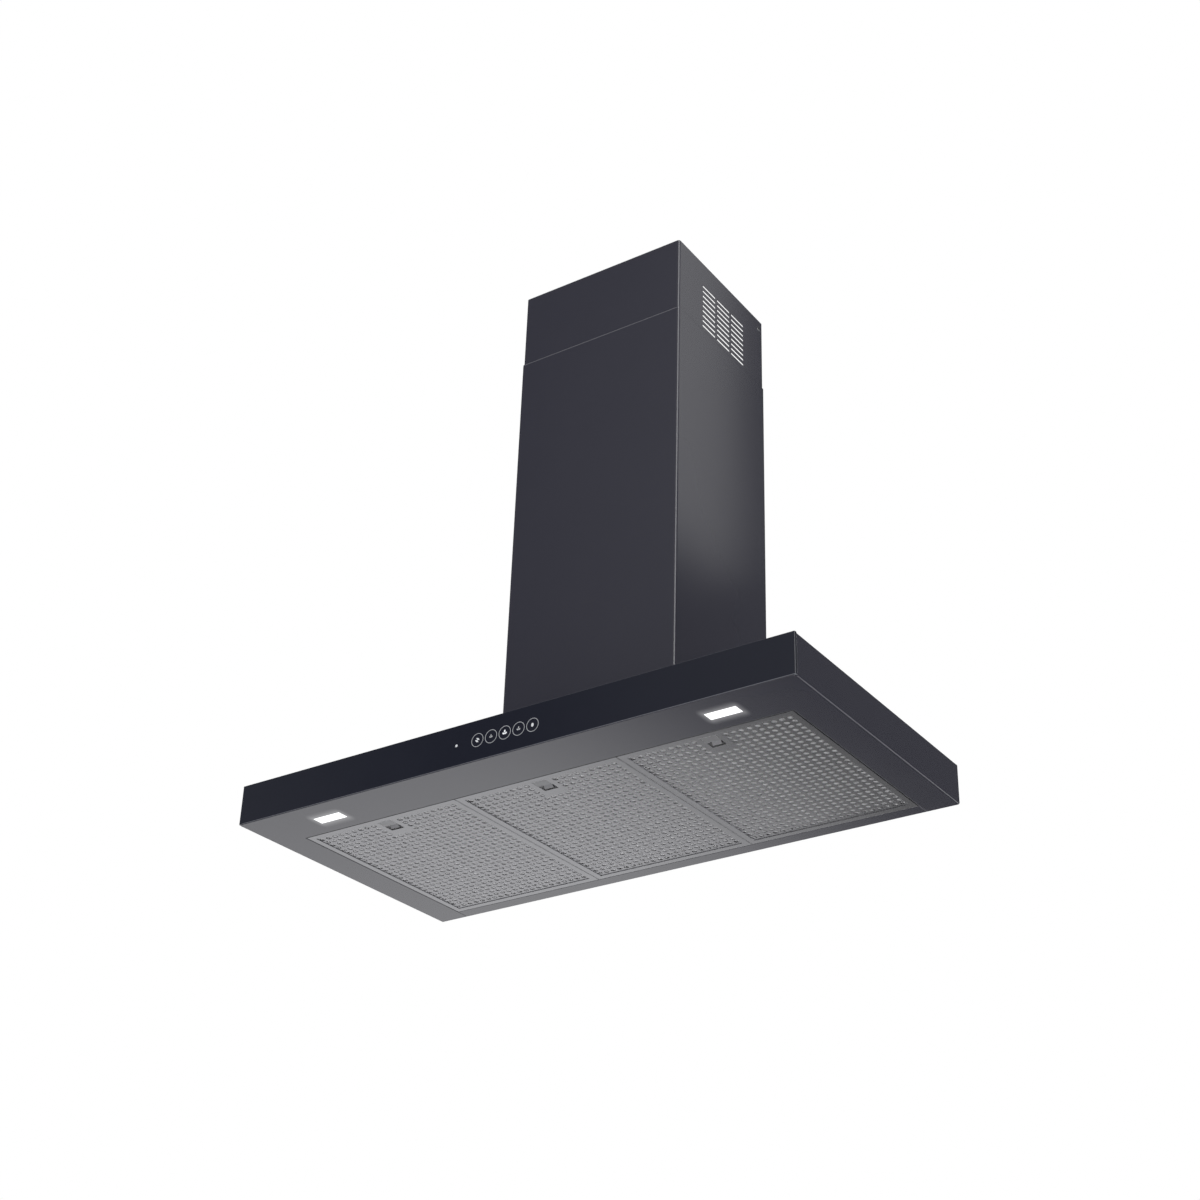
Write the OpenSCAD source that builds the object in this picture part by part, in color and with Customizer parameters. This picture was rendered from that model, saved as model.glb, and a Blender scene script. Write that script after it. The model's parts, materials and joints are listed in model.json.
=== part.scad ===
// Wall-mounted chimney range hood: a flat canopy with a glass front, three
// perforated grease filters, two lamps, a blower inside the chimney, and a
// telescopic chimney cover in two pieces.
// X points to the right of someone facing the hood, Y points into the kitchen
// wall, which is the plane Y = 0, and Z points up from the hood's underside.

/* [Canopy] */
// Width of the canopy
hood_w = 900; // [880:10:1200]
// Depth from the wall to the face of the glass
hood_d = 458; // [440:1:520]
// Height of the canopy
hood_h = 60; // [58:1:90]
// Sheet of the canopy
skin = 1; // [0.8:0.1:1.2]
// Outside radius of the canopy's long bends
bend_r = 2.5; // [1.6:0.1:4]
// Width of the plain band at each side of the filters
side_band = 50; // [40:1:60]
// Depth of the plain band in front of the filters
front_band = 83; // [82:1:100]
// Depth of the strip behind the filters
rear_band = 23; // [20:1:30]
// Height of the upstands round the filter opening
upstand_h = 12; // [11.5:0.5:14]

/* [Glass front] */
// Thickness of the glass
glass_t = 4; // [3:0.5:6]
// Thickness of the tape that bonds the glass
tape_t = 0.8; // [0.5:0.1:1.5]
// Width of each strip of tape
tape_w = 5; // [3:0.5:6]
// Chamfer on the upright edges of the glass
glass_edge = 0.8; // [0.3:0.1:1]
// Gap between the glass and the lip that carries it
glass_lift = 0.3; // [0.1:0.1:0.5]
// Place of the middle touch key across the glass
touch_x = 13.6; // [-40:0.2:40]
// Height of the touch keys
touch_z = 30.75; // [29:0.25:32]
// Pitch of the five touch keys
key_pitch = 22.4; // [20:0.2:24]
// Length of the touch board
board_l = 150; // [140:1:160]
// Height of the touch board
board_h = 34; // [28:1:36]
// Thickness of the circuit boards
board_t = 1.6; // [1:0.2:2]

/* [Grease filters] */
// Height of a filter cassette
filter_h = 9; // [8.8:0.1:10]
// Gap between neighbouring filters, and at the outer sides
filter_gap = 1; // [0.8:0.1:2]
// Gap at the front and rear edges of the filters
edge_gap = 0.8; // [0.7:0.1:1.2]
// Width of the frame's folded lip
lip_w = 10; // [8:0.5:11]
// Sheet of the frame
frame_t = 0.8; // [0.6:0.1:0.9]
// Thickness of the perforated sheets
perf_t = 0.7; // [0.5:0.1:0.8]
// Diameter of the perforations seen from below
perf_d = 8; // [5:0.5:9]
// Pitch of the perforations across the hood
perf_pitch_x = 11.85; // [11:0.05:16]
// Pitch of the perforations from front to rear
perf_pitch_y = 11.6; // [11:0.05:16]
// Distance of the first row from the filter's front edge
perf_front = 18.3; // [15:0.1:20]
// Least distance of the other rows and columns from the filter's edge
perf_side = 11; // [10.6:0.1:20]
// Diameter of the holes in the upper sheet
back_hole_d = 15; // [8:0.5:18]
// Pitch of the holes in the upper sheet
back_pitch = 23; // [21:0.5:30]
// Distance of the rear tongues from the filter's middle
tongue_x = 90; // [60:1:105]
// Width of a rear tongue
tongue_w = 20; // [12:1:24]
// How far a tongue reaches over the rear strip
tongue_reach = 9; // [7:0.5:11]
// Thickness of a tongue
tongue_t = 1.2; // [1:0.1:1.5]

/* [Filter latches] */
// Width of the pull opening
pull_w = 22; // [20:0.5:24]
// Length of the pull opening
pull_l = 31; // [30.5:0.5:33]
// Distance of the pull opening from the filter's front edge
pull_in = 12.2; // [12:0.1:13]
// Travel of the latch
latch_travel = 4.5; // [4:0.1:5]
// Width of the latch bolt
bolt_w = 12; // [10:0.5:13]
// Width of the finger tab
tab_w = 14; // [10:0.5:16]
// Thickness of the latch's sheet
latch_t = 0.8; // [0.6:0.1:0.9]
// Thickness of the spring keeper
keeper_t = 0.5; // [0.4:0.1:0.6]
// Width of the latch spring's wire
spring_w = 0.5; // [0.4:0.1:0.6]
// Pitch of the folds in the grease mesh
mesh_pitch = 5; // [4:0.5:8]
// Sheet of the grease mesh
mesh_t = 0.4; // [0.3:0.1:0.5]

/* [Lamps] */
// Distance of each lamp from the middle
lamp_x = 320.8; // [300:0.2:350]
// Distance of the lamps from the face of the glass
lamp_in = 45.5; // [40:0.5:50]
// Length of the lens
lamp_l = 46; // [40:1:60]
// Width of the lens
lamp_w = 18; // [14:1:20]
// Height of the lamp housing above the canopy's sheet
lamp_h = 14; // [12:1:20]

/* [Control boxes] */
// Distance of each box from the middle
tray_x = 175; // [165:1:190]
// Length of the control box
control_l = 130; // [100:1:140]
// Length of the lamp driver
driver_l = 110; // [80:1:140]
// Width of both boxes
tray_w = 50; // [40:1:52]
// Height of the control box
control_h = 34; // [24:1:36]
// Height of the lamp driver
driver_h = 24; // [16:1:30]

/* [Chimney covers] */
// Room between the blower box and the cover, at each side
cover_side = 24; // [23:1:35]
// Depth of the lower cover
cover_d = 260.5; // [258:0.5:280]
// Height of the lower cover
cover_h = 743; // [700:1:900]
// Height of the upper cover
upper_h = 600; // [560:1:640]
// How much of the upper cover shows
upper_out = 132; // [131:1:200]
// Sheet of the covers
cover_t = 0.8; // [0.6:0.1:1]
// Gap between the two covers
slip = 0.4; // [0.3:0.1:0.6]
// Outside radius of the covers' bends
cover_r = 4; // [2:0.1:5]
// Width of the flanges folded inwards at the wall
cover_flange = 15; // [10:1:17]

/* [Vents] */
// Length of a vent slot
slot_l = 38; // [30:1:40]
// Height of a vent slot
slot_h = 3.6; // [3:0.1:4.5]
// Number of slots side by side
slot_cols = 3; // [1:1:3]
// Number of slots one above the other
slot_rows = 9; // [3:1:9]
// Pitch of the slots side by side
slot_pitch_y = 43.3; // [42:0.1:46]
// Pitch of the slots one above the other
slot_pitch_z = 9.6; // [8:0.1:10]
// Distance of the slots' middle from the wall
slot_y = 126.5; // [110:0.5:130]
// Distance of the slots' middle below the top edge
slot_down = 83; // [75:0.5:86]
// Diameter of the fixing hole near the top
fix_d = 7; // [5:0.5:8]
// Distance of the fixing hole from the wall
fix_y = 13.7; // [12:0.1:16]
// Distance of the fixing hole below the top edge
fix_down = 16.5; // [14:0.5:20]

/* [Blower] */
// Width of the blower box
box_w = 250; // [244:1:256]
// Depth of the blower box
box_d = 236; // [234:1:240]
// Height of the blower box
box_h = 300; // [296:1:330]
// Sheet of the blower box
box_t = 1.2; // [1:0.1:1.5]
// Radius of the impeller
wheel_r = 78; // [74:1:80]
// Room between the impeller and the scroll, at each side
wheel_side = 8; // [6:0.5:13]
// Number of blades
blades = 36; // [24:1:44]
// Depth of the ring of blades
blade_d = 12; // [10:0.5:14]
// Room between the scroll and the box, at each side
inlet_side = 47; // [45:0.5:49]
// Radius of the scroll where it starts
scroll_r = 88; // [86:1:89]
// How much the scroll opens in each quarter turn
scroll_step = 8; // [6:0.5:9]
// Wall of the scroll
scroll_t = 2; // [1.6:0.1:2.4]
// Width of the seam flange between the scroll's halves
seam_w = 5; // [3:0.5:6]
// Radius of the inlets
inlet_r = 60; // [56:1:61]
// Radius of the motor
motor_r = 44; // [38:1:46]
// Radius of the motor shaft
shaft_r = 4; // [3:0.5:5]
// Radius of the run capacitor
can_r = 15; // [10:1:17]
// Length of the run capacitor
can_l = 55; // [40:1:70]

/* [Duct outlet] */
// Outside radius of the duct spigot
spigot_r = 74.5; // [70:0.5:76]
// Height of the spigot above its base
spigot_h = 60; // [50:1:75]
// Wall of the spigot
spigot_t = 3.5; // [3:0.1:4]
// Width of the square base
base_w = 164; // [162:1:166]
// Thickness of the square base
base_t = 2.5; // [2:0.1:4]
// Distance of the duct's middle from the wall
duct_y = 150; // [148:1:151]
// Radius of the flap spindles
spindle_r = 2; // [1.6:0.1:2.5]
// Thickness of the flaps
flap_t = 1.6; // [1.2:0.1:2]

/* [Wall fixing] */
// Radius of the wall screw holes
hang_r = 4.25; // [3:0.25:5]
// Distance between the hanging holes
hang_span = 180; // [120:1:200]
// How far the hanging plate stands above the blower box
hang_up = 60; // [50:1:80]
// Distance between the lower fixing holes
lower_span = 600; // [500:10:700]
// Radius of the holes in the chimney brackets
bracket_r = 2.75; // [2:0.25:3]
// Sheet of the chimney brackets
bracket_t = 1.5; // [1.2:0.1:2]

/* [Fits] */
// Radial clearance of a shaft or spindle in its bore
run_fit = 0.06; // [0.03:0.01:0.1]
// Clearance round a piece that drops into a seat
seat_fit = 0.2; // [0.1:0.05:0.3]
// Clearance between pieces that move past each other
slide_fit = 0.3; // [0.3:0.05:0.35]
// Radius of the screw shanks
screw_r = 1.9; // [1.5:0.1:2]

/* [Hidden] */
$fn = 48;
cut = 1;

// Canopy
half_w = hood_w / 2;
lamp_y = hood_d - lamp_in;
body_d = hood_d - glass_t - tape_t;
field_w = hood_w - 2 * side_band;
field_front = -(hood_d - front_band);
field_rear = -rear_band;
lower_hole_z = hood_h / 2;
air_lip = 10;

// Touch board
board_x = touch_x - 17;
board_rear = -body_d - 0.1 + board_t;
board_gap = 3;
tray_wall = 1.5;
tray_depth = 9;
tray_rim = 4;
stud_r = 2;
stud_in = 5;
key_led = 3;

// Rear strip
strip_gap = 0.5;
strip_up = 26;
rivet_r = 1.6;
rivet_z = 20;
rivet_span = 220;

// Filters
filter_w = (field_w - 4 * filter_gap) / 3;
filter_y0 = field_front + edge_gap;
filter_y1 = field_rear - edge_gap;
filter_d = filter_y1 - filter_y0;
face_top = frame_t + perf_t;
back_z = filter_h - frame_t - perf_t;
inset = frame_t + seat_fit / 2;
pad_gap = 0.5;
perf_cols = floor((filter_w - 2 * perf_side) / perf_pitch_x / 2) * 2 + 1;
perf_rows = floor((filter_d - perf_front - perf_side) / perf_pitch_y) + 1;
back_cols = floor((filter_w - 2 * lip_w - back_hole_d) / back_pitch) + 1;
back_rows = floor((filter_d - 2 * lip_w - back_hole_d) / back_pitch) + 1;
tongue_z = skin + seat_fit;
tongue_side = 1;

// Latches, measured from the filter's front edge towards the rear
pull_y0 = filter_y0 + pull_in;
pull_y1 = pull_y0 + pull_l;
wing = 2.5;
slide_z = face_top + slide_fit;
pocket_t = 0.7;
pocket_w = pull_w + 4;
pocket_y0 = pull_y0 - 5;
pocket_y1 = pull_y1 + 4.5;
pocket_z = slide_z + latch_t + slide_fit;
recess_y0 = pull_y0 + 16;
recess_y1 = recess_y0 + 4.5;
recess_z = 4.5;
tab_y = recess_y1 + latch_travel + 0.4;
tab_z = 0.3;
tab_t = 1;
bolt_z = 4;
bolt_t = 1.2;
bolt_tip = filter_y0 + frame_t + 0.8;
riser_y = pull_y0 + 4;
riser_l = 3;
riser_top = back_z - slide_fit - 0.1;
spring_gap = 7.4;
post_y = riser_y + riser_l + spring_gap;
post_z = recess_z + latch_t + slide_fit;
spring_t = 1.2;
spring_half = 4.4;
spring_turns = 3;
keeper_z = bolt_z - slide_fit - keeper_t;
keeper_tip = bolt_tip + 2.8;
keeper_w = bolt_w - 1;
keeper_play = 0.4;
notch_w = bolt_w + 6;
notch_l = 6;

// Lamps
lens_t = 1.4;
lens_flange = 2.5;
lamp_wall = 1.5;
foot_w = 4;
foot_l = 3;
led_h = 1;
led_w = 3.5;
leds = 3;

// Control boxes
tray_t = 2;
tray_y = -lamp_y;
tray_ear = 9;
groove_w = 3;
tray_top = hood_h - skin;

// Chimney
cover_z = hood_h;
cover_w = box_w + 2 * cover_side;
cover_top = cover_z + cover_h;
upper_w = cover_w - 2 * cover_t - 2 * slip;
upper_rear = -(cover_t + slip);
upper_d = cover_d - 2 * cover_t - 2 * slip;
upper_top = cover_top + upper_out;
upper_z = upper_top - upper_h;
locator_y = -130;
locator_l = 40;
locator_h = 24;
ear_hole_d = 5.5;
ear_reach = 16.3;
ear_down = 5;
ear_plate_l = 34;
strap_l = 28;
strap_gap = 3;
strap_play = 1.5;
ear_front = fix_y + ear_reach;
ear_up = upper_top - ear_down;
ear_step = ear_up - ear_plate_l;
ear_low = ear_step - strap_l;
flange_end = ear_low - strap_gap;
bracket_in = 17.5;

// Blower
box_top = hood_h + box_h;
box_flange = 8;
hang_corner = 10;
locator_base = cover_side - cover_t - box_flange - 0.5;
scroll_w = box_w - 2 * inlet_side;
wheel_w = scroll_w - 2 * wheel_side;
hang_w = box_w - hang_corner;
hang_rise = 35;
hang_z = box_top + hang_rise;
half_step = scroll_step / 2;
axis_y = -(box_t + 1 + half_step + scroll_r + scroll_t + seam_w);
axis_up = 130;
axis_z = hood_h + axis_up;
mouth_front = half_step + scroll_r + 2 * scroll_step;
mouth_z = 110;
seam_t = 2;
bell_r = 5;
disc_t = 3;
ring_t = 3;
hub_r = 12;
hub_l = 24;
blade_t = 0.8;
blade_r = 12;
motor_x0 = hub_l / 2 + 4;
motor_x1 = scroll_w / 2 + scroll_t;
motor_edge = 4;
vent_w = 6;
spider_r = inlet_r + bell_r + 11;
spider_rim = 10;
spider_t = 2;
spider_x = motor_x1 + bell_r / 2 + 0.3;
spider_arms = [60, 180, 300];
arm_w = 14;
shaft_x0 = -hub_l / 2 - 2;
shaft_x1 = spider_x + spider_t + 4;

// Duct outlet
neck_z = axis_z + mouth_z;
neck_t = 2;
neck_end = 0.5;
bore_r = spigot_r - spigot_t;
base_corner = 6;
spindle_skin = 1.4;
base_top = box_top + base_t;
spindle_z = base_top + 14;
spindle_off = 5;
spindle_end = 0.6;
bridge_w = 4;
bridge_h = 8;
flap_play = 1.6;
ledge_w = 3;
ledge_t = 1.5;
ledge_z = spindle_z - flap_t / 2 - 0.3;
ledge_gap = spindle_off + spindle_r + 1;

// Fasteners
head_r = 3.6;
head_h = 2.2;
screw_hole_r = screw_r + 0.15;
base_screw = base_w / 2 - 2 * head_r - 0.8;
screw_short = 0.1;
screw_out = 2;

// Cable gland
gland_in = 27;
gland_x = box_w / 2 - gland_in;
gland_y = -36;
gland_r = 8;

// Colours
black_paint = [0.2, 0.2, 0.23];
grey_paint = [0.5, 0.5, 0.52];
steel = [0.66, 0.67, 0.68];
dark_plastic = [0.13, 0.13, 0.14];
pale_plastic = [0.82, 0.82, 0.8];
board_green = [0.1, 0.3, 0.18];

// Block between its lowest and highest corners
module block(a, b) {
    translate(a) cube(b - a);
}

// Rectangle with round corners, about its middle
module round_rect(w, h, r) {
    square([w - 2 * r, h], center = true);
    square([w, h - 2 * r], center = true);
    for (sx = [-1, 1], sy = [-1, 1])
        translate([sx * (w / 2 - r), sy * (h / 2 - r)]) circle(r);
}

// Outline in X and Z, drawn out along Y from y0 to y1
module along_y(y0, y1) {
    translate([0, y1, 0]) rotate([90, 0, 0]) linear_extrude(y1 - y0) children();
}

// Outline in Y and Z, drawn out along X from x0 to x1
module along_x(x0, x1) {
    translate([x0, 0, 0]) rotate([90, 0, 90]) linear_extrude(x1 - x0) children();
}

// Outline in X and Y, drawn up from z0 to z1
module along_z(z0, z1) {
    translate([0, 0, z0]) linear_extrude(z1 - z0) children();
}

// Round bar or hole along Z, Y or X
module bar_z(r, z0, z1) {
    translate([0, 0, z0]) cylinder(r = r, h = z1 - z0);
}

module bar_y(r, y0, y1) {
    translate([0, y1, 0]) rotate([90, 0, 0]) cylinder(r = r, h = y1 - y0);
}

module bar_x(r, x0, x1) {
    translate([x0, 0, 0]) rotate([0, 90, 0]) cylinder(r = r, h = x1 - x0);
}

module both_sides() {
    children();
    mirror([1, 0, 0]) children();
}

// Pan-head screw: its head stands on Z = 0 and its shank reaches down to -l
module pan_screw(l) {
    difference() {
        union() {
            bar_z(head_r, 0, head_h);
            bar_z(screw_r, -l, head_h / 2);
        }
        for (a = [0, 90])
            rotate(a) block([-head_r * 0.55, -0.4, head_h - 1], [head_r * 0.55, 0.4, head_h + cut]);
    }
}

// Middle of filter i, where i is -1, 0 or 1
function filter_x(i) = i * (filter_w + filter_gap);

// Places of the fasteners

module flange_screws() {
    for (s = [-1, 1], y = [-0.85, -0.2])
        translate([s * (box_w / 2 + box_flange / 2), y * box_d, hood_h]) children();
}

module locator_screws() {
    for (s = [-1, 1])
        translate([s * (cover_w / 2 - cover_t - locator_base / 2), locator_y, hood_h]) children();
}

module tray_screws(l) {
    for (s = [-1, 1])
        translate([s * (l / 2 + tray_ear / 2), 0, tray_top]) children();
}

module base_screws() {
    for (sx = [-1, 1], sy = [-1, 1])
        translate([sx * base_screw, -duct_y + sy * base_screw, box_top]) children();
}

module spider_screws() {
    for (a = spider_arms)
        translate([motor_x1, axis_y, axis_z]) rotate([a, 0, 0])
            translate([0, 0, spider_r - spider_rim / 2]) children();
}

module strip_rivet_places() {
    for (i = [-1.5, -0.5, 0.5, 1.5])
        translate([i * rivet_span, 0, rivet_z]) children();
}

// Canopy

module filter_opening(z0, z1, grow = 0, rear = cut) {
    block([-field_w / 2 - grow, field_front - grow, z0], [field_w / 2 + grow, rear, z1]);
}

module opening_upstands() {
    difference() {
        filter_opening(skin / 2, upstand_h, skin, -skin - seat_fit);
        filter_opening(0, upstand_h + cut);
        for (i = [-1, 0, 1])
            translate([filter_x(i), 0, 0])
                block([-keeper_w / 2 - keeper_play, field_front - 2 * skin, keeper_z - keeper_play],
                      [keeper_w / 2 + keeper_play, field_front + cut, keeper_z + keeper_t + keeper_play]);
    }
}

module lamp_hole() {
    block([-lamp_l / 2 - seat_fit, -lamp_w / 2 - seat_fit, -cut],
          [lamp_l / 2 + seat_fit, lamp_w / 2 + seat_fit, skin + cut]);
}

module canopy_shell() color(black_paint) {
    difference() {
        union() {
            difference() {
                translate([0, 0, hood_h / 2]) along_y(-body_d, 0) difference() {
                    round_rect(hood_w, hood_h, bend_r);
                    round_rect(hood_w - 2 * skin, hood_h - 2 * skin, bend_r - skin);
                }
                filter_opening(-cut, skin + cut);
            }
            block([-half_w + skin / 2, -body_d, skin / 2],
                  [half_w - skin / 2, skin - body_d, hood_h - skin / 2]);
            block([-half_w + skin / 2, -skin, skin + seat_fit], [half_w - skin / 2, 0, hood_h - skin / 2]);
            // lip under the glass
            block([-half_w + bend_r, -hood_d, 0], [half_w - bend_r, skin - body_d, skin]);
            opening_upstands();
        }
        both_sides() translate([lamp_x, -lamp_y, 0]) lamp_hole();
        // air passage to the blower
        block([-box_w / 2 + air_lip, -box_d + air_lip, hood_h - 2 * skin],
              [box_w / 2 - air_lip, -air_lip, hood_h + cut]);
        // window for the touch board
        block([board_x - board_l / 2 - board_gap, -body_d - cut, touch_z - board_h / 2 - board_gap],
              [board_x + board_l / 2 + board_gap, 2 * skin - body_d, touch_z + board_h / 2 + board_gap]);
        both_sides() translate([lower_span / 2, 0, lower_hole_z]) bar_y(hang_r, -2 * skin, cut);
        strip_rivet_places() bar_y(rivet_r + 0.1, -2 * skin, cut);
        flange_screws() bar_z(screw_hole_r, -2 * skin, cut);
        locator_screws() bar_z(screw_hole_r, -2 * skin, cut);
        translate([tray_x, tray_y, 0]) tray_screws(control_l) bar_z(screw_hole_r, -cut, 2 * skin);
        translate([-tray_x, tray_y, 0]) tray_screws(driver_l) bar_z(screw_hole_r, -cut, 2 * skin);
    }
}

// Strip behind the filters, which carries their tongues
module rear_strip() color(black_paint) {
    half = field_w / 2 - strip_gap;
    gap = tongue_w / 2 + tongue_side;
    difference() {
        union() {
            block([-half, field_rear, 0], [half, 0, skin]);
            block([-half, -2 * skin, skin / 2], [half, -skin, strip_up]);
            block([-half, field_rear, skin / 2], [half, field_rear + skin, upstand_h]);
        }
        for (i = [-1, 0, 1], s = [-1, 1])
            translate([filter_x(i) + s * tongue_x, 0, 0])
                block([-gap, field_rear - cut, skin], [gap, field_rear + skin + cut, upstand_h + cut]);
        strip_rivet_places() bar_y(rivet_r + 0.1, -3 * skin, 0);
    }
}

module strip_rivets() color(steel) {
    strip_rivet_places() {
        bar_y(rivet_r, -2 * skin - 0.5, -0.1);
        translate([0, -2 * skin, 0]) rotate([90, 0, 0]) intersection() {
            cylinder(r = 2 * rivet_r, h = 2);
            translate([0, 0, -2.2 * rivet_r + 1.2]) sphere(2.2 * rivet_r);
        }
    }
}

module front_glass() color([0.1, 0.1, 0.13]) {
    w = half_w;
    e = glass_edge;
    along_z(skin + glass_lift, hood_h)
        polygon([[-w, -body_d - tape_t], [-w, e - hood_d], [e - w, -hood_d], [w - e, -hood_d],
                 [w, e - hood_d], [w, -body_d - tape_t]]);
}

module glass_tape() color(dark_plastic) {
    for (z = [skin + glass_lift + 1, hood_h - bend_r - tape_w])
        block([-half_w + 2 * bend_r, -body_d - tape_t, z], [half_w - 2 * bend_r, -body_d, z + tape_w]);
}

// Touch controls: a board pressed against the glass, in a tray behind the front wall
module touch_board() color(board_green) {
    chip = [14, 1.8, 14];
    chip_in = 5;
    socket = [10, 4, 6];
    socket_in = [24, 0, 5];
    translate([board_x, board_rear, touch_z]) {
        block([-board_l / 2, -board_t, -board_h / 2], [board_l / 2, 0, board_h / 2]);
        for (k = [-2:2])
            translate([touch_x - board_x + k * key_pitch, 0, 0])
                block([-key_led / 2, 0, -key_led / 2], [key_led / 2, key_led / 3, key_led / 2]);
        translate([chip_in - board_l / 2, 0, -chip[2] / 2]) cube(chip);
        translate(socket_in - [board_l / 2, 0, board_h / 2]) cube(socket);
    }
}

module touch_board_tray() color(dark_plastic) {
    w = board_l / 2 + board_gap;
    h = board_h / 2 + board_gap;
    front = skin - body_d;
    translate([board_x, 0, touch_z]) {
        difference() {
            block([-w - tray_rim, front, -h - tray_rim], [w + tray_rim, front + tray_depth, h + tray_rim]);
            block([-w, front - cut, -h], [w, front + tray_depth - tray_wall, h]);
        }
        for (sx = [-1, 1], sz = [-1, 1])
            translate([sx * (board_l / 2 - stud_in), 0, sz * (board_h / 2 - stud_in + 1)])
                bar_y(stud_r, board_rear, front + tray_depth);
    }
}

// Lamps

module lamp_lens(s) color([0.95, 0.95, 0.92]) {
    translate([s * lamp_x, -lamp_y, 0]) {
        block([-lamp_l / 2, -lamp_w / 2, 0], [lamp_l / 2, lamp_w / 2, skin + lens_t]);
        block([-lamp_l / 2 - lens_flange, -lamp_w / 2 - lens_flange, skin],
              [lamp_l / 2 + lens_flange, lamp_w / 2 + lens_flange, skin + lens_t]);
    }
}

module lamp_housing(s) color(pale_plastic) {
    w = lamp_l / 2 + lens_flange + seat_fit;
    d = lamp_w / 2 + lens_flange + seat_fit;
    translate([s * lamp_x, -lamp_y, 0]) {
        difference() {
            block([-w - lamp_wall, -d - lamp_wall, skin], [w + lamp_wall, d + lamp_wall, skin + lamp_h]);
            block([-w, -d, skin - cut], [w, d, skin + lens_t]);
            block([-lamp_l / 2, -lamp_w / 2, skin], [lamp_l / 2, lamp_w / 2, skin + lamp_h - lamp_wall]);
        }
        both_sides() block([w, -foot_w, skin], [w + lamp_wall + foot_l, foot_w, skin + foot_l]);
    }
}

module lamp_board(s) color(board_green) {
    top = skin + lamp_h - lamp_wall;
    translate([s * lamp_x, -lamp_y, 0]) {
        block([-lamp_l / 2 + 1, -lamp_w / 2 + 1, top - board_t], [lamp_l / 2 - 1, lamp_w / 2 - 1, top]);
        for (i = [1:leds])
            translate([(i - (leds + 1) / 2) * lamp_l / (leds + 1), 0, 0])
                block([-led_w / 2, -led_w / 2, top - board_t - led_h], [led_w / 2, led_w / 2, top - board_t]);
    }
}

// Boxes hung from the canopy's top

module hung_box(l, h) {
    difference() {
        union() {
            block([-l / 2, -tray_w / 2, tray_top - h], [l / 2, tray_w / 2, tray_top]);
            for (s = [-1, 1])
                block([s * (l / 2 + tray_ear / 2) - tray_ear / 2 - 0.5, -tray_ear, tray_top - tray_t],
                      [s * (l / 2 + tray_ear / 2) + tray_ear / 2, tray_ear, tray_top]);
        }
        children();
        tray_screws(l) bar_z(screw_hole_r, -tray_t - cut, cut);
    }
}

module control_box() color(dark_plastic) {
    translate([tray_x, tray_y, 0]) hung_box(control_l, control_h)
        block([tray_t - control_l / 2, tray_t - tray_w / 2, tray_top - control_h - cut],
              [control_l / 2 - tray_t, tray_w / 2 - tray_t, tray_top - tray_t]);
}

module control_box_lid() color(dark_plastic) {
    low = tray_top - control_h;
    w = control_l / 2 - tray_t - seat_fit;
    d = tray_w / 2 - tray_t - seat_fit;
    rim = 1.5;
    translate([tray_x, tray_y, low]) {
        block([-control_l / 2, -tray_w / 2, -tray_t], [control_l / 2, tray_w / 2, 0]);
        difference() {
            block([-w, -d, -tray_t / 2], [w, d, 2 * rim]);
            block([rim - w, rim - d, 0], [w - rim, d - rim, 2 * rim + cut]);
        }
    }
}

module lamp_driver() color(pale_plastic) {
    translate([-tray_x, tray_y, 0]) hung_box(driver_l, driver_h)
        // grooves across its underside
        for (i = [-3:3])
            translate([i * 3 * groove_w, 0, tray_top - driver_h])
                block([-groove_w / 2, -tray_w / 2 - cut, -cut],
                      [groove_w / 2, tray_w / 2 + cut, groove_w / 3]);
}

// Spring clips that catch the latch bolts
module latch_keepers() color(steel) {
    wall = field_front - skin;
    clip_z = upstand_h + keeper_t;
    for (i = [-1, 0, 1])
        translate([filter_x(i), 0, 0]) along_x(-keeper_w / 2, keeper_w / 2) polygon([
            [keeper_tip, keeper_z], [wall - keeper_t, keeper_z], [wall - keeper_t, clip_z],
            [field_front + keeper_t, clip_z], [field_front + keeper_t, filter_h + 0.5],
            [field_front, filter_h + 0.5], [field_front, upstand_h], [wall, upstand_h],
            [wall, keeper_z + keeper_t], [keeper_tip, keeper_z + keeper_t]]);
}

// Chimney

module folded_cover(w, d, rear, z0, z1) {
    translate([0, rear - d / 2, 0]) along_z(z0, z1) difference() {
        round_rect(w, d, cover_r);
        round_rect(w - 2 * cover_t, d - 2 * cover_t, cover_r - cover_t);
        translate([0, d / 2]) square([w - 2 * cover_flange, 4 * cover_t], center = true);
    }
}

module lower_chimney_cover() color(black_paint) {
    folded_cover(cover_w, cover_d, 0, cover_z, cover_top);
}

module vent_slots() {
    for (c = [1:slot_cols], r = [1:slot_rows])
        translate([0, -slot_y + (c - (slot_cols + 1) / 2) * slot_pitch_y,
                   upper_top - slot_down + (r - (slot_rows + 1) / 2) * slot_pitch_z])
            cube([upper_w + 2 * cut, slot_l, slot_h], center = true);
}

module upper_chimney_cover() color(black_paint) {
    difference() {
        folded_cover(upper_w, upper_d, upper_rear, upper_z, upper_top);
        vent_slots();
        translate([0, -fix_y, upper_top - fix_down])
            bar_x(fix_d / 2, -upper_w / 2 - cut, upper_w / 2 + cut);
        // the rear flanges stop below the brackets
        block([cover_r - upper_w / 2, upper_rear - cover_t - cut, flange_end],
              [upper_w / 2 - cover_r, cut, upper_top + cut]);
    }
}

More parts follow.
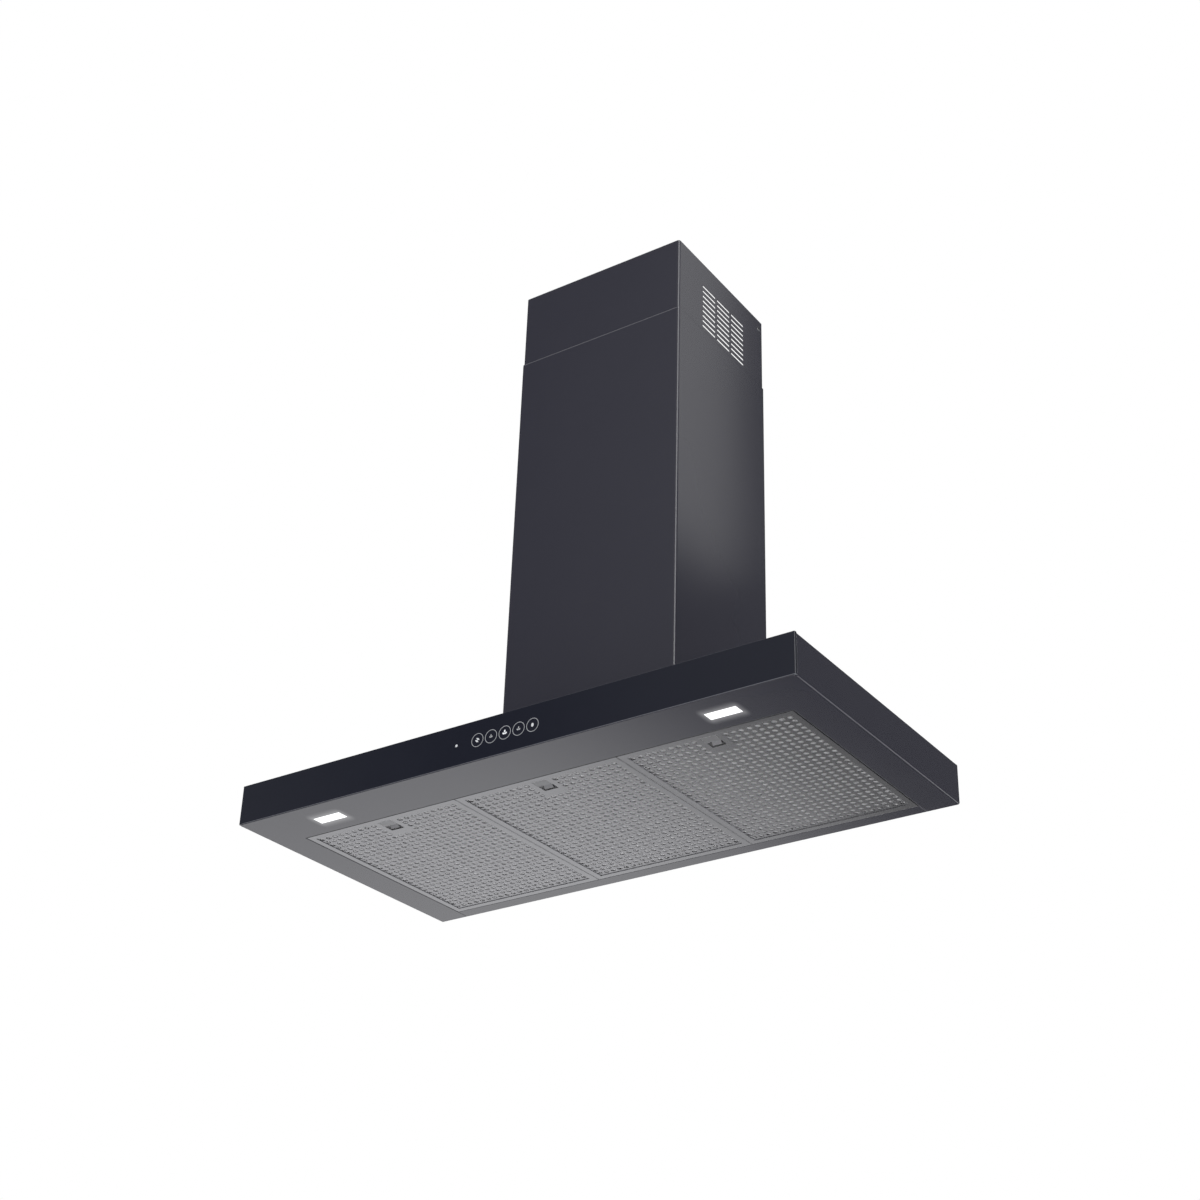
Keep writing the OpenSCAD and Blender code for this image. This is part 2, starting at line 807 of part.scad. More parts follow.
// Brackets that fix the upper cover to the kitchen wall
module chimney_brackets() color(grey_paint) {
    t = bracket_t;
    out = upper_w / 2 - cover_t;
    back = upper_rear - cover_r - 0.3;
    step = out - cover_flange - strap_play;
    both_sides() difference() {
        union() {
            along_z(ear_low, ear_step) polygon([
                [out, -ear_front], [out, back - t], [out, back], [step, back], [step, 0],
                [step - bracket_in, 0], [step - bracket_in, -t], [step - t, -t],
                [step - t, back - t], [out - t, back - t], [out - t, -ear_front]]);
            block([out - t, -ear_front, ear_low], [out, back, ear_up]);
        }
        translate([0, -fix_y, upper_top - fix_down]) bar_x(ear_hole_d / 2, out - t - cut, out + cut);
        translate([step - bracket_in / 2 - t / 2, 0, (ear_low + ear_step) / 2])
            bar_y(bracket_r, -t - cut, cut);
    }
}

module cover_locators() color(grey_paint) {
    out = cover_w / 2 - cover_t;
    difference() {
        both_sides() translate([0, locator_y, 0]) {
            block([out - locator_base, -locator_l / 2, hood_h], [out, locator_l / 2, hood_h + bracket_t]);
            block([out - bracket_t, -locator_l / 2, hood_h], [out, locator_l / 2, hood_h + locator_h]);
        }
        locator_screws() bar_z(screw_hole_r, -cut, bracket_t + cut);
    }
}

// Blower

// Scroll in Y and Z about the impeller's axis, drawn as three quarter circles whose
// centres step round a small square, then a straight mouth upwards
module scroll_outline(grow, top) {
    s = half_step;
    r = scroll_r + grow;
    big = 2 * scroll_r;
    intersection() {
        translate([s, -s]) circle(r);
        translate([s, -s]) square(big);
    }
    intersection() {
        translate([-s, -s]) circle(r + scroll_step);
        translate([-s, -s - big]) square(big);
    }
    intersection() {
        translate([-s, s]) circle(r + 2 * scroll_step);
        translate([-s - big, s - big]) square(big);
    }
    translate([-mouth_front - grow, -s]) square([mouth_front + grow + s, s + top]);
    translate([0, s]) square([s + grow, top - s]);
}

module scroll_half() {
    half = scroll_w / 2;
    translate([0, axis_y, axis_z]) difference() {
        union() {
            along_x(0, half + scroll_t) scroll_outline(scroll_t, mouth_z);
            along_x(0, seam_t) scroll_outline(scroll_t + seam_w, mouth_z);
            bar_x(inlet_r + bell_r, half, motor_x1 + bell_r / 2);
        }
        along_x(-cut, half) scroll_outline(0, mouth_z + cut);
        bar_x(inlet_r, half - cut, motor_x1 + bell_r);
        // rounded mouth
        translate([motor_x1, 0, 0]) rotate([0, 90, 0]) rotate_extrude() difference() {
            square([inlet_r + bell_r / 2, bell_r / 2 + cut]);
            translate([inlet_r + bell_r / 2, 0]) circle(bell_r / 2);
        }
    }
}

module scroll_left_half() color(pale_plastic) {
    mirror([1, 0, 0]) scroll_half();
}

module scroll_right_half() color(pale_plastic) {
    difference() {
        scroll_half();
        spider_screws() bar_x(screw_hole_r, -2 * scroll_t, cut);
    }
}

// Square-to-round neck between the scroll and the duct collar
module neck_loft(grow, z0, z1) {
    hull() {
        translate([-scroll_w / 2 - grow, axis_y - mouth_front - grow, z0])
            cube([scroll_w + 2 * grow, mouth_front + half_step + 2 * grow, neck_end]);
        translate([0, -duct_y, z1 - neck_end]) cylinder(r = bore_r + grow, h = neck_end, $fn = 32);
    }
}

module outlet_neck() color(pale_plastic) {
    under = box_top - box_t;
    difference() {
        union() {
            neck_loft(neck_t, neck_z, under);
            block([-scroll_w / 2 - 2 * neck_t, axis_y - mouth_front - 2 * neck_t, neck_z],
                  [scroll_w / 2 + 2 * neck_t, axis_y + half_step + 2 * neck_t, neck_z + neck_t]);
            block([-base_w / 2, -duct_y - base_w / 2, under - neck_t],
                  [base_w / 2, -duct_y + base_w / 2, under]);
        }
        neck_loft(0, neck_z - neck_end / 5, under + neck_end / 5);
        base_screws() bar_z(screw_hole_r, -box_t - neck_t - cut, 0);
    }
}

module duct_collar() color(dark_plastic) {
    difference() {
        union() {
            translate([0, -duct_y, box_top]) along_z(0, base_t) round_rect(base_w, base_w, base_corner);
            translate([0, -duct_y, 0]) bar_z(spigot_r, box_top, base_top + spigot_h);
        }
        translate([0, -duct_y, 0]) bar_z(bore_r, box_top - cut, ledge_z - ledge_t);
        translate([0, -duct_y, 0]) bar_z(bore_r - ledge_w, box_top - cut, base_top + spigot_h + cut);
        translate([0, -duct_y, 0]) bar_z(bore_r, ledge_z, base_top + spigot_h + cut);
        // the ledge that stops the flaps is open at their spindles
        block([-bore_r, -duct_y - ledge_gap, ledge_z - ledge_t - cut],
              [bore_r, -duct_y + ledge_gap, ledge_z + cut]);
        for (s = [-1, 1])
            translate([0, s * spindle_off - duct_y, spindle_z])
                bar_x(spindle_r + run_fit, -spigot_r + spindle_skin, spigot_r - spindle_skin);
        base_screws() bar_z(screw_hole_r, -cut, base_t + cut);
    }
    // bar between the flaps
    block([1 - spigot_r, -duct_y - bridge_w / 2, spindle_z - bridge_h],
          [spigot_r - 1, -duct_y + bridge_w / 2, spindle_z + 1]);
}

// Half-round flap that swings up on its spindle; side is 1 for the rear, -1 for the front
module damper_flap(side) color(steel) {
    r = bore_r - flap_play;
    half = spigot_r - spindle_skin - spindle_end;
    translate([0, -duct_y, spindle_z]) scale([1, side, 1]) {
        translate([0, spindle_off, 0]) bar_x(spindle_r, -half, half);
        intersection() {
            bar_z(r, -flap_t / 2, flap_t / 2);
            block([-r, spindle_off, -flap_t], [r, r, flap_t]);
        }
    }
}

module blower_motor() color(grey_paint) {
    translate([0, axis_y, axis_z]) difference() {
        rotate([0, 90, 0]) translate([0, 0, motor_x0]) rotate_extrude() polygon([
            [shaft_r + run_fit, 0], [motor_r - motor_edge, 0], [motor_r, motor_edge],
            [motor_r, spider_x - motor_x0 - motor_edge], [motor_r - motor_edge, spider_x - motor_x0],
            [shaft_r + run_fit, spider_x - motor_x0]]);
        // cooling slots round both end bells
        for (a = [0:30:330])
            rotate([a, 0, 0]) for (x = [motor_x0, spider_x])
                block([x - motor_edge, -vent_w / 2, motor_r - 4 * motor_edge],
                      [x + motor_edge, vent_w / 2, motor_r - 2 * motor_edge]);
    }
}

module motor_bracket() color(steel) {
    difference() {
        translate([0, axis_y, axis_z]) {
            difference() {
                bar_x(spider_r, motor_x1, spider_x + spider_t);
                bar_x(spider_r - spider_rim, motor_x1 - cut, spider_x + spider_t + cut);
            }
            for (a = spider_arms)
                rotate([a, 0, 0])
                    block([spider_x, -arm_w / 2, hub_r],
                          [spider_x + spider_t, arm_w / 2, spider_r - spider_rim / 5]);
            bar_x(motor_r / 2, spider_x, spider_x + spider_t);
        }
        translate([0, axis_y, axis_z]) bar_x(2 * shaft_r, spider_x - cut, spider_x + spider_t + cut);
        spider_screws() bar_x(screw_hole_r, -cut, spider_x);
    }
}

module motor_shaft() color(steel) {
    translate([0, axis_y, axis_z]) bar_x(shaft_r, shaft_x0, shaft_x1);
}

// Forward-curved blade in Y and Z, clipped to the ring of blades
module blade_outline() {
    intersection() {
        translate([wheel_r - blade_d + 2, -blade_r]) difference() {
            circle(blade_r + blade_t / 2);
            circle(blade_r - blade_t / 2);
        }
        difference() {
            circle(wheel_r - 0.5);
            circle(wheel_r - blade_d + 0.5);
        }
        translate([0, -blade_r]) square([wheel_r, blade_r + 2]);
    }
}

module impeller_disc() color(pale_plastic) {
    translate([0, axis_y, axis_z]) difference() {
        union() {
            bar_x(wheel_r, -disc_t / 2, disc_t / 2);
            bar_x(hub_r, -hub_l / 2, hub_l / 2);
        }
        bar_x(shaft_r + 0.02, -hub_l, hub_l);
    }
}

// Ring of blades that is welded to one face of the disc
module blade_ring(side) color(pale_plastic) {
    half = wheel_w / 2;
    translate([0, axis_y, axis_z]) scale([side, 1, 1]) {
        along_x(disc_t / 2, half - ring_t / 2) for (i = [1:blades]) rotate(i * 360 / blades) blade_outline();
        difference() {
            bar_x(wheel_r, half - ring_t, half);
            bar_x(wheel_r - blade_d, half - ring_t - cut, half + cut);
        }
    }
}

module blower_box() color(grey_paint) {
    inner_w = box_w - 2 * box_t;
    difference() {
        union() {
            translate([0, -box_d / 2, 0]) along_z(hood_h, box_top) round_rect(box_w, box_d, 3);
            block([-box_w / 2 - box_flange, -box_d - box_flange, hood_h],
                  [box_w / 2 + box_flange, 0, hood_h + box_t]);
            translate([0, 0, box_top]) along_y(-box_t, 0) {
                round_rect(hang_w, 2 * hang_up, hang_corner);
            }
        }
        block([-inner_w / 2, -box_d + box_t, hood_h - cut], [inner_w / 2, -box_t, box_top - box_t]);
        translate([0, -duct_y, 0]) bar_z(bore_r + 0.5, box_top - box_t - cut, box_top + cut);
        translate([gland_x, gland_y, 0]) bar_z(gland_r, box_top - box_t - cut, box_top + cut);
        both_sides() translate([hang_span / 2, 0, hang_z]) bar_y(hang_r, -box_t - cut, cut);
        flange_screws() bar_z(screw_hole_r, -cut, box_t + cut);
        base_screws() bar_z(screw_hole_r, -box_t - cut, cut);
    }
}

module run_capacitor() color(pale_plastic) {
    front = -box_t - can_l;
    tag = [0.8, 8, 6];
    can_gap = 4;
    can_up = 50;
    translate([-box_w / 2 + box_t + can_r + can_gap, 0, hood_h + can_up]) {
        bar_y(can_r, front, -box_t);
        for (s = [-1, 1])
            translate([s * can_r / 3 - tag[0] / 2, front - tag[1], -tag[2] / 2]) cube(tag + [0, cut, 0]);
    }
}

module cable_gland() color(dark_plastic) {
    under = box_top - box_t;
    nut_h = 5;
    cap_r = gland_r + 2.6;
    cap_top = box_top + 14;
    translate([gland_x, gland_y, 0]) difference() {
        union() {
            bar_z(gland_r - 0.1, under - 2 * nut_h, box_top + nut_h);
            for (z = [under - nut_h, box_top])
                translate([0, 0, z]) cylinder(r = gland_r + 4, h = nut_h, $fn = 6);
            bar_z(cap_r, box_top + nut_h, cap_top);
            translate([0, 0, cap_top]) cylinder(r1 = cap_r, r2 = gland_r - 2, h = nut_h);
        }
        bar_z(gland_r / 2, under - 2 * nut_h - cut, cap_top + nut_h + cut);
    }
}

module canopy_screws() color(steel) {
    locator_screws() translate([0, 0, bracket_t]) pan_screw(bracket_t + skin + screw_out);
    translate([tray_x, tray_y, -tray_t])
        tray_screws(control_l) rotate([180, 0, 0]) pan_screw(tray_t + skin - screw_short);
    translate([-tray_x, tray_y, -tray_t])
        tray_screws(driver_l) rotate([180, 0, 0]) pan_screw(tray_t + skin - screw_short);
}

module blower_screws() color(steel) {
    flange_screws() translate([0, 0, box_t]) pan_screw(box_t + skin + screw_out);
    base_screws() translate([0, 0, base_t]) pan_screw(base_t + box_t + neck_t + screw_out);
    spider_screws() translate([spider_x + spider_t - motor_x1, 0, 0])
        rotate([0, 90, 0]) pan_screw(spider_x + spider_t - motor_x1 + scroll_t - screw_short);
}

// Filters

module latch_notch(z) {
    block([-notch_w / 2, filter_y0 - cut, z], [notch_w / 2, filter_y0 + notch_l, filter_h + cut]);
}

module filter_frame(i) color(grey_paint) {
    w = filter_w / 2;
    translate([filter_x(i), 0, 0]) {
        difference() {
            block([-w, filter_y0, 0], [w, filter_y1, filter_h]);
            block([frame_t - w, filter_y0 + frame_t, frame_t],
                  [w - frame_t, filter_y1 - frame_t, filter_h - frame_t]);
            block([lip_w - w, filter_y0 + lip_w, -cut], [w - lip_w, filter_y1 - lip_w, filter_h + cut]);
            latch_notch(keeper_z - 1);
        }
        for (s = [-1, 1])
            block([s * tongue_x - tongue_w / 2, filter_y1 - frame_t, tongue_z],
                  [s * tongue_x + tongue_w / 2, field_rear + tongue_reach, tongue_z + tongue_t]);
    }
}

// A hole is left out where the latch is
function is_blank(c, r) = abs(c - (perf_cols + 1) / 2) < 2 && r <= 4;

module filter_face(i) color(steel) {
    w = filter_w / 2 - inset;
    translate([filter_x(i), 0, 0]) difference() {
        block([-w, filter_y0 + inset, frame_t], [w, filter_y1 - inset, face_top]);
        for (c = [1:perf_cols], r = [1:perf_rows])
            if (!is_blank(c, r))
                translate([(c - (perf_cols + 1) / 2) * perf_pitch_x,
                           filter_y0 + perf_front + (r - 1) * perf_pitch_y, 0])
                    bar_z(perf_d / 2, frame_t - cut, face_top + cut);
        block([-pull_w / 2, pull_y0, 0], [pull_w / 2, pull_y1, face_top + cut]);
    }
}

// Folded mesh in three pads, one behind the latch and one at each side of it
module filter_mesh(i) color(steel) {
    w = filter_w / 2 - inset;
    side = pocket_w / 2 + wing;
    folds = floor(2 * w / mesh_pitch);
    rise = mesh_t * sqrt(1 + pow(2 * (back_z - face_top) / mesh_pitch, 2));
    low = face_top + 0.1;
    high = back_z - 0.1;
    translate([filter_x(i), 0, 0]) difference() {
        along_y(filter_y0 + inset, filter_y1 - inset) polygon(concat(
            [for (k = [-folds:folds]) [k * mesh_pitch / 2, k % 2 == 0 ? low : high - rise]],
            [for (k = [folds:-1:-folds]) [k * mesh_pitch / 2, k % 2 == 0 ? low + rise : high]]));
        block([-side, filter_y0, 0], [side, pocket_y1 + 1, filter_h]);
        block([-w, pocket_y1 + 1, 0], [w, pocket_y1 + 1 + pad_gap, filter_h]);
    }
}

module filter_back(i) color(steel) {
    w = filter_w / 2 - inset;
    mid = (filter_y0 + filter_y1) / 2;
    keep = back_hole_d / 2 + 2;
    translate([filter_x(i), 0, 0]) difference() {
        block([-w, filter_y0 + inset, back_z], [w, filter_y1 - inset, back_z + perf_t]);
        for (c = [1:back_cols], r = [1:back_rows]) {
            x = (c - (back_cols + 1) / 2) * back_pitch;
            y = mid + (r - (back_rows + 1) / 2) * back_pitch;
            if (abs(x) > pocket_w / 2 + keep || y > pocket_y1 + keep)
                translate([x, y, 0]) bar_z(back_hole_d / 2, back_z - cut, back_z + perf_t + cut);
        }
        latch_notch(0);
    }
}

// Walls that house the latch, and the stop of its spring, welded under the upper sheet
module latch_pocket(i) color(steel) {
    in = pocket_w / 2;
    t = pocket_t;
    translate([filter_x(i), 0, 0]) {
        difference() {
            block([-in - t, pocket_y0 - t, pocket_z], [in + t, pocket_y1 + t, back_z]);
            block([-in, pocket_y0, 0], [in, pocket_y1, filter_h]);
            block([-bolt_w / 2 - slide_fit, pocket_y0 - 2 * t, 0],
                  [bolt_w / 2 + slide_fit, pocket_y0 + cut, bolt_z + bolt_t + slide_fit]);
            latch_notch(0);
        }
        block([-bolt_w / 2, post_y, post_z], [bolt_w / 2, post_y + t, back_z]);
    }
}

// Latch: a face plate with a nail recess and a finger tab, and a bolt above it
module filter_latch(i) color(dark_plastic) {
    top = slide_z + latch_t;
    translate([filter_x(i), 0, 0]) {
        block([slide_fit - pull_w / 2, pull_y0 + slide_fit, frame_t],
              [pull_w / 2 - slide_fit, recess_y0 - latch_t, slide_z + latch_t / 2]);
        block([-pull_w / 2 - wing, pull_y0 - wing, slide_z],
              [pull_w / 2 + wing, recess_y0 - latch_t, top]);
        along_x(-tab_w / 2, tab_w / 2) polygon([
            [recess_y0 - 2 * latch_t, slide_z], [recess_y0, slide_z], [recess_y0, recess_z],
            [recess_y1, recess_z], [tab_y - tab_t, tab_z], [tab_y, tab_z],
            [recess_y1 + tab_t / 2, recess_z + latch_t], [recess_y0 - latch_t, recess_z + latch_t],
            [recess_y0 - latch_t, top], [recess_y0 - 2 * latch_t, top]]);
        block([-bolt_w / 2, riser_y, top - latch_t / 2], [bolt_w / 2, riser_y + riser_l, riser_top]);
        block([-bolt_w / 2, bolt_tip, bolt_z], [bolt_w / 2, riser_y + riser_l, bolt_z + bolt_t]);
    }
}

// Flat serpentine spring between the latch and its stop
module latch_spring(i) color(steel) {
    y0 = riser_y + riser_l + slide_fit;
    y1 = post_y - slide_fit;
    pitch = (y1 - y0 - spring_w) / spring_turns;
    z0 = riser_top - spring_t - 0.1;
    translate([filter_x(i), y0, 0]) along_z(z0, z0 + spring_t) {
        for (k = [0:spring_turns]) {
            translate([-spring_half, k * pitch]) square([2 * spring_half, spring_w]);
            if (k < spring_turns)
                scale([k % 2 == 0 ? 1 : -1, 1]) intersection() {
                    translate([spring_half, k * pitch + (pitch + spring_w) / 2]) difference() {
                        circle((pitch + spring_w) / 2);
                        circle((pitch - spring_w) / 2);
                    }
                    translate([spring_half, k * pitch]) square(pitch + spring_w);
                }
        }
    }
}

canopy_shell();
rear_strip();
front_glass();
glass_tape();
touch_board();
touch_board_tray();
lamp_lens(-1);  // left_lamp_lens
lamp_lens(1);  // right_lamp_lens
lamp_housing(-1);  // left_lamp_housing
lamp_housing(1);  // right_lamp_housing
lamp_board(-1);  // left_lamp_board
lamp_board(1);  // right_lamp_board
control_box();
control_box_lid();
lamp_driver();
latch_keepers();
lower_chimney_cover();
cover_locators();
blower_box();
scroll_left_half();
scroll_right_half();
outlet_neck();
duct_collar();
damper_flap(-1);  // front_damper_flap
damper_flap(1);  // rear_damper_flap
blower_motor();
motor_bracket();
motor_shaft();
impeller_disc();
blade_ring(-1);  // impeller_left_blades
blade_ring(1);  // impeller_right_blades
run_capacitor();
cable_gland();
canopy_screws();
blower_screws();
strip_rivets();
upper_chimney_cover();
chimney_brackets();
filter_frame(-1);  // left_filter_frame
filter_face(-1);  // left_filter_face
filter_mesh(-1);  // left_filter_mesh
filter_back(-1);  // left_filter_back
latch_pocket(-1);  // left_latch_pocket
filter_latch(-1);  // left_latch
latch_spring(-1);  // left_latch_spring
filter_frame(0);  // middle_filter_frame
filter_face(0);  // middle_filter_face
filter_mesh(0);  // middle_filter_mesh
filter_back(0);  // middle_filter_back
latch_pocket(0);  // middle_latch_pocket
filter_latch(0);  // middle_latch
latch_spring(0);  // middle_latch_spring
filter_frame(1);  // right_filter_frame
filter_face(1);  // right_filter_face
filter_mesh(1);  // right_filter_mesh
filter_back(1);  // right_filter_back
latch_pocket(1);  // right_latch_pocket
filter_latch(1);  // right_latch
latch_spring(1);  // right_latch_spring
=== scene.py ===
# %% [markdown]
# # Dressing a chimney range hood
# The solids of this hood come from CAD and already have the right shape and place. This lesson gives
# each of them a finish, adds the printed keys, the grease mesh and the wire springs, and sets up a
# studio round it. Lengths are in metres; X is to the right of someone facing the hood, Y goes into
# the wall and Z is up.
# %% Load the hood
import json
from math import cos, pi, radians, sin
import bpy
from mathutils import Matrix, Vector


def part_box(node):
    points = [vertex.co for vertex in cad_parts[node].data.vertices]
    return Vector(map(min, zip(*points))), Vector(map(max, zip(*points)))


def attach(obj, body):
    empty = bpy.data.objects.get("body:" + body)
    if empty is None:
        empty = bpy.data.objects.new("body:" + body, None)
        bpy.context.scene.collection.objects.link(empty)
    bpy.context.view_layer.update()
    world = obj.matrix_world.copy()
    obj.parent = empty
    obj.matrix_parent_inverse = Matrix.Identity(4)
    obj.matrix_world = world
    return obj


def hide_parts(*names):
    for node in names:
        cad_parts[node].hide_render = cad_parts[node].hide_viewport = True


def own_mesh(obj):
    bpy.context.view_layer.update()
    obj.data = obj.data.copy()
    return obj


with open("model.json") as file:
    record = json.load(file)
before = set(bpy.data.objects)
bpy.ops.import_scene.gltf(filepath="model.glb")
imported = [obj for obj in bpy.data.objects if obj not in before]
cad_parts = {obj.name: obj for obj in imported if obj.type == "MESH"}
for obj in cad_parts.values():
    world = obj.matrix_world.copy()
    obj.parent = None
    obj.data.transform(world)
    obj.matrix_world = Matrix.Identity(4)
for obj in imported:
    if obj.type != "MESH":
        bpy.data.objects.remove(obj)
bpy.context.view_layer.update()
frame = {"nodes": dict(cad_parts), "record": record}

nodes = frame["nodes"]
print("solids loaded:", len(nodes))

# %% [markdown]
# An operator works on whatever is selected, and loading leaves every solid selected. So each step
# below starts from nothing selected, and this helper is the first tool of the lesson.
# %% Deselect everything
def clear_selection():
    if bpy.context.mode != "OBJECT":
        bpy.ops.object.mode_set(mode="OBJECT")
    bpy.ops.object.select_all(action="DESELECT")


clear_selection()
print("selected:", len(bpy.context.selected_objects))

# %% [markdown]
# ## Camera
# The hood is seen from its right and from about a metre below the canopy. Place, turn and lens were
# solved from the straight edges of the canopy and the chimney. The small shift brings the hood to the
# middle of the picture without turning the camera.
# %% Camera
VIEW_PLACE = (1.48063, -2.32345, -1.08996)
VIEW_TURN = (2.07488, -0.00133, 0.54941)
bpy.ops.object.camera_add(location=VIEW_PLACE, rotation=VIEW_TURN)
camera = bpy.context.object
camera.name = "viewer"
camera.data.sensor_width = 36
camera.data.lens = 59.709
camera.data.shift_x = -0.09598
camera.data.shift_y = 0.01056
camera.data.clip_end = 60
bpy.context.scene.camera = camera
print("lens:", round(camera.data.lens, 2), "mm")

# %% [markdown]
# ## Node helpers
# Every finish below is a small network of shader nodes, and five helpers keep the networks short:
# one adds a node and sets its values, one joins two sockets, one starts a material with its
# Principled shader, and two start a node group and place it in a material. Values that are the same
# all over a surface are set on the shader itself.
# %% Node helpers
def add_node(tree, kind, **values):
    made = tree.nodes.new(kind)
    for name, value in values.items():
        if name in made.inputs:
            made.inputs[name].default_value = value
        else:
            setattr(made, name, value)
    return made


def join(tree, source, target):
    tree.links.new(source, target)


def start_material(name, **values):
    material = bpy.data.materials.new(name)
    material.use_nodes = True
    shader = material.node_tree.nodes["Principled BSDF"]
    for socket, value in values.items():
        shader.inputs[socket.replace("_", " ")].default_value = value
    return material, material.node_tree, shader


def start_group(name, inputs, outputs):
    group = bpy.data.node_groups.new(name, "ShaderNodeTree")
    for label, kind, value in inputs:
        socket = group.interface.new_socket(name=label, in_out="INPUT", socket_type=kind)
        socket.default_value = value
    for label, kind in outputs:
        group.interface.new_socket(name=label, in_out="OUTPUT", socket_type=kind)
    return group, group.nodes.new("NodeGroupInput"), group.nodes.new("NodeGroupOutput")


def use_group(tree, group, **values):
    placed = tree.nodes.new("ShaderNodeGroup")
    placed.node_tree = group
    for label, value in values.items():
        placed.inputs[label.replace("_", " ")].default_value = value
    return placed


FLOAT = "NodeSocketFloat"
VECTOR = "NodeSocketVector"
COLOUR = "NodeSocketColor"

# %% [markdown]
# Marks that sit at a known place, such as a glow round a lamp, are worked out from the place itself
# with Math and Map Range nodes. Two helpers add them: one for sums, one that fades between two
# numbers. The third splits the place on a piece into X, Y and Z, and the last mixes a second colour
# into a finish where a mask says so.
# %% Sums and fades
def calculate(tree, kind, first, second=0.0):
    made = add_node(tree, "ShaderNodeMath", operation=kind)
    for socket, value in zip(made.inputs, (first, second)):
        if isinstance(value, (int, float)):
            socket.default_value = value
        else:
            join(tree, value, socket)
    return made.outputs[0]


def fade(tree, value, start, end, low, high, kind="SMOOTHSTEP"):
    made = add_node(tree, "ShaderNodeMapRange", interpolation_type=kind)
    for name, number in (("From Min", start), ("From Max", end), ("To Min", low), ("To Max", high)):
        made.inputs[name].default_value = number
    join(tree, value, made.inputs["Value"])
    return made.outputs["Result"]


def place_on_piece(tree):
    place = add_node(tree, "ShaderNodeTexCoord")
    split = add_node(tree, "ShaderNodeSeparateXYZ")
    join(tree, place.outputs["Object"], split.inputs[0])
    return split.outputs


def tint(material, mask, colour):
    tree = material.node_tree
    shader = tree.nodes["Principled BSDF"]
    under = shader.inputs["Base Color"].links[0].from_socket
    mix = add_node(tree, "ShaderNodeMix", data_type="RGBA")
    mix.inputs["B"].default_value = (*colour, 1)
    join(tree, under, mix.inputs["A"])
    join(tree, mask, mix.inputs["Factor"])
    join(tree, mix.outputs["Result"], shader.inputs["Base Color"])

# %% [markdown]
# ## Shared effects
# Powder paint is never quite flat: it bakes with a fine orange-peel texture and it clouds a little.
# Both could be painted by hand, but noise on Object coordinates gives them at a true scale on every
# sheet. The group puts out a slow cloud for colour and gloss, and a fine height for a Bump node.
# %% Group: cloud and grain
cloud_grain, inside, outside = start_group(
    "cloud and grain",
    [("Cloud Scale", FLOAT, 6.0), ("Grain Scale", FLOAT, 900.0), ("Stretch", VECTOR, (1, 1, 1))],
    [("Cloud", FLOAT), ("Grain", FLOAT)])
place = add_node(cloud_grain, "ShaderNodeTexCoord")
stretch = add_node(cloud_grain, "ShaderNodeMapping")
slow = add_node(cloud_grain, "ShaderNodeTexNoise", Detail=3.0, Roughness=0.55)
fine = add_node(cloud_grain, "ShaderNodeTexNoise", Detail=2.0, Roughness=0.5)
join(cloud_grain, place.outputs["Object"], stretch.inputs["Vector"])
join(cloud_grain, inside.outputs["Stretch"], stretch.inputs["Scale"])
join(cloud_grain, place.outputs["Object"], slow.inputs["Vector"])
join(cloud_grain, stretch.outputs["Vector"], fine.inputs["Vector"])
join(cloud_grain, inside.outputs["Cloud Scale"], slow.inputs["Scale"])
join(cloud_grain, inside.outputs["Grain Scale"], fine.inputs["Scale"])
join(cloud_grain, slow.outputs["Fac"], outside.inputs["Cloud"])
join(cloud_grain, fine.outputs["Fac"], outside.inputs["Grain"])
print("group:", cloud_grain.name, "with", len(cloud_grain.nodes), "nodes")

# %% [markdown]
# A folded sheet has a small round bend at each edge, where paint lies thinner and light catches, and the
# finishes paint these edges paler: partly wear, partly a painted highlight.
# Bevelling every solid would change the CAD meshes, so the Bevel node only looks for nearby edges:
# where its softened normal turns away from the true one, there is an edge. The group puts out that
# mask, and the softened normal to shade with.
# %% Group: edge finder
edge_finder, inside, outside = start_group(
    "edge finder", [("Width", FLOAT, 0.0008), ("Sharpness", FLOAT, 12.0)],
    [("Edge", FLOAT), ("Soft Normal", VECTOR)])
soft = add_node(edge_finder, "ShaderNodeBevel", samples=6)
true_side = add_node(edge_finder, "ShaderNodeNewGeometry")
compare = add_node(edge_finder, "ShaderNodeVectorMath", operation="DOT_PRODUCT")
apart = add_node(edge_finder, "ShaderNodeMath", operation="SUBTRACT")
apart.inputs[0].default_value = 1.0
gain = add_node(edge_finder, "ShaderNodeMath", operation="MULTIPLY", use_clamp=True)
join(edge_finder, inside.outputs["Width"], soft.inputs["Radius"])
join(edge_finder, soft.outputs["Normal"], compare.inputs[0])
join(edge_finder, true_side.outputs["Normal"], compare.inputs[1])
join(edge_finder, compare.outputs["Value"], apart.inputs[1])
join(edge_finder, apart.outputs[0], gain.inputs[0])
join(edge_finder, inside.outputs["Sharpness"], gain.inputs[1])
join(edge_finder, gain.outputs[0], outside.inputs["Edge"])
join(edge_finder, soft.outputs["Normal"], outside.inputs["Soft Normal"])
print("group:", edge_finder.name, "with", len(edge_finder.nodes), "nodes")

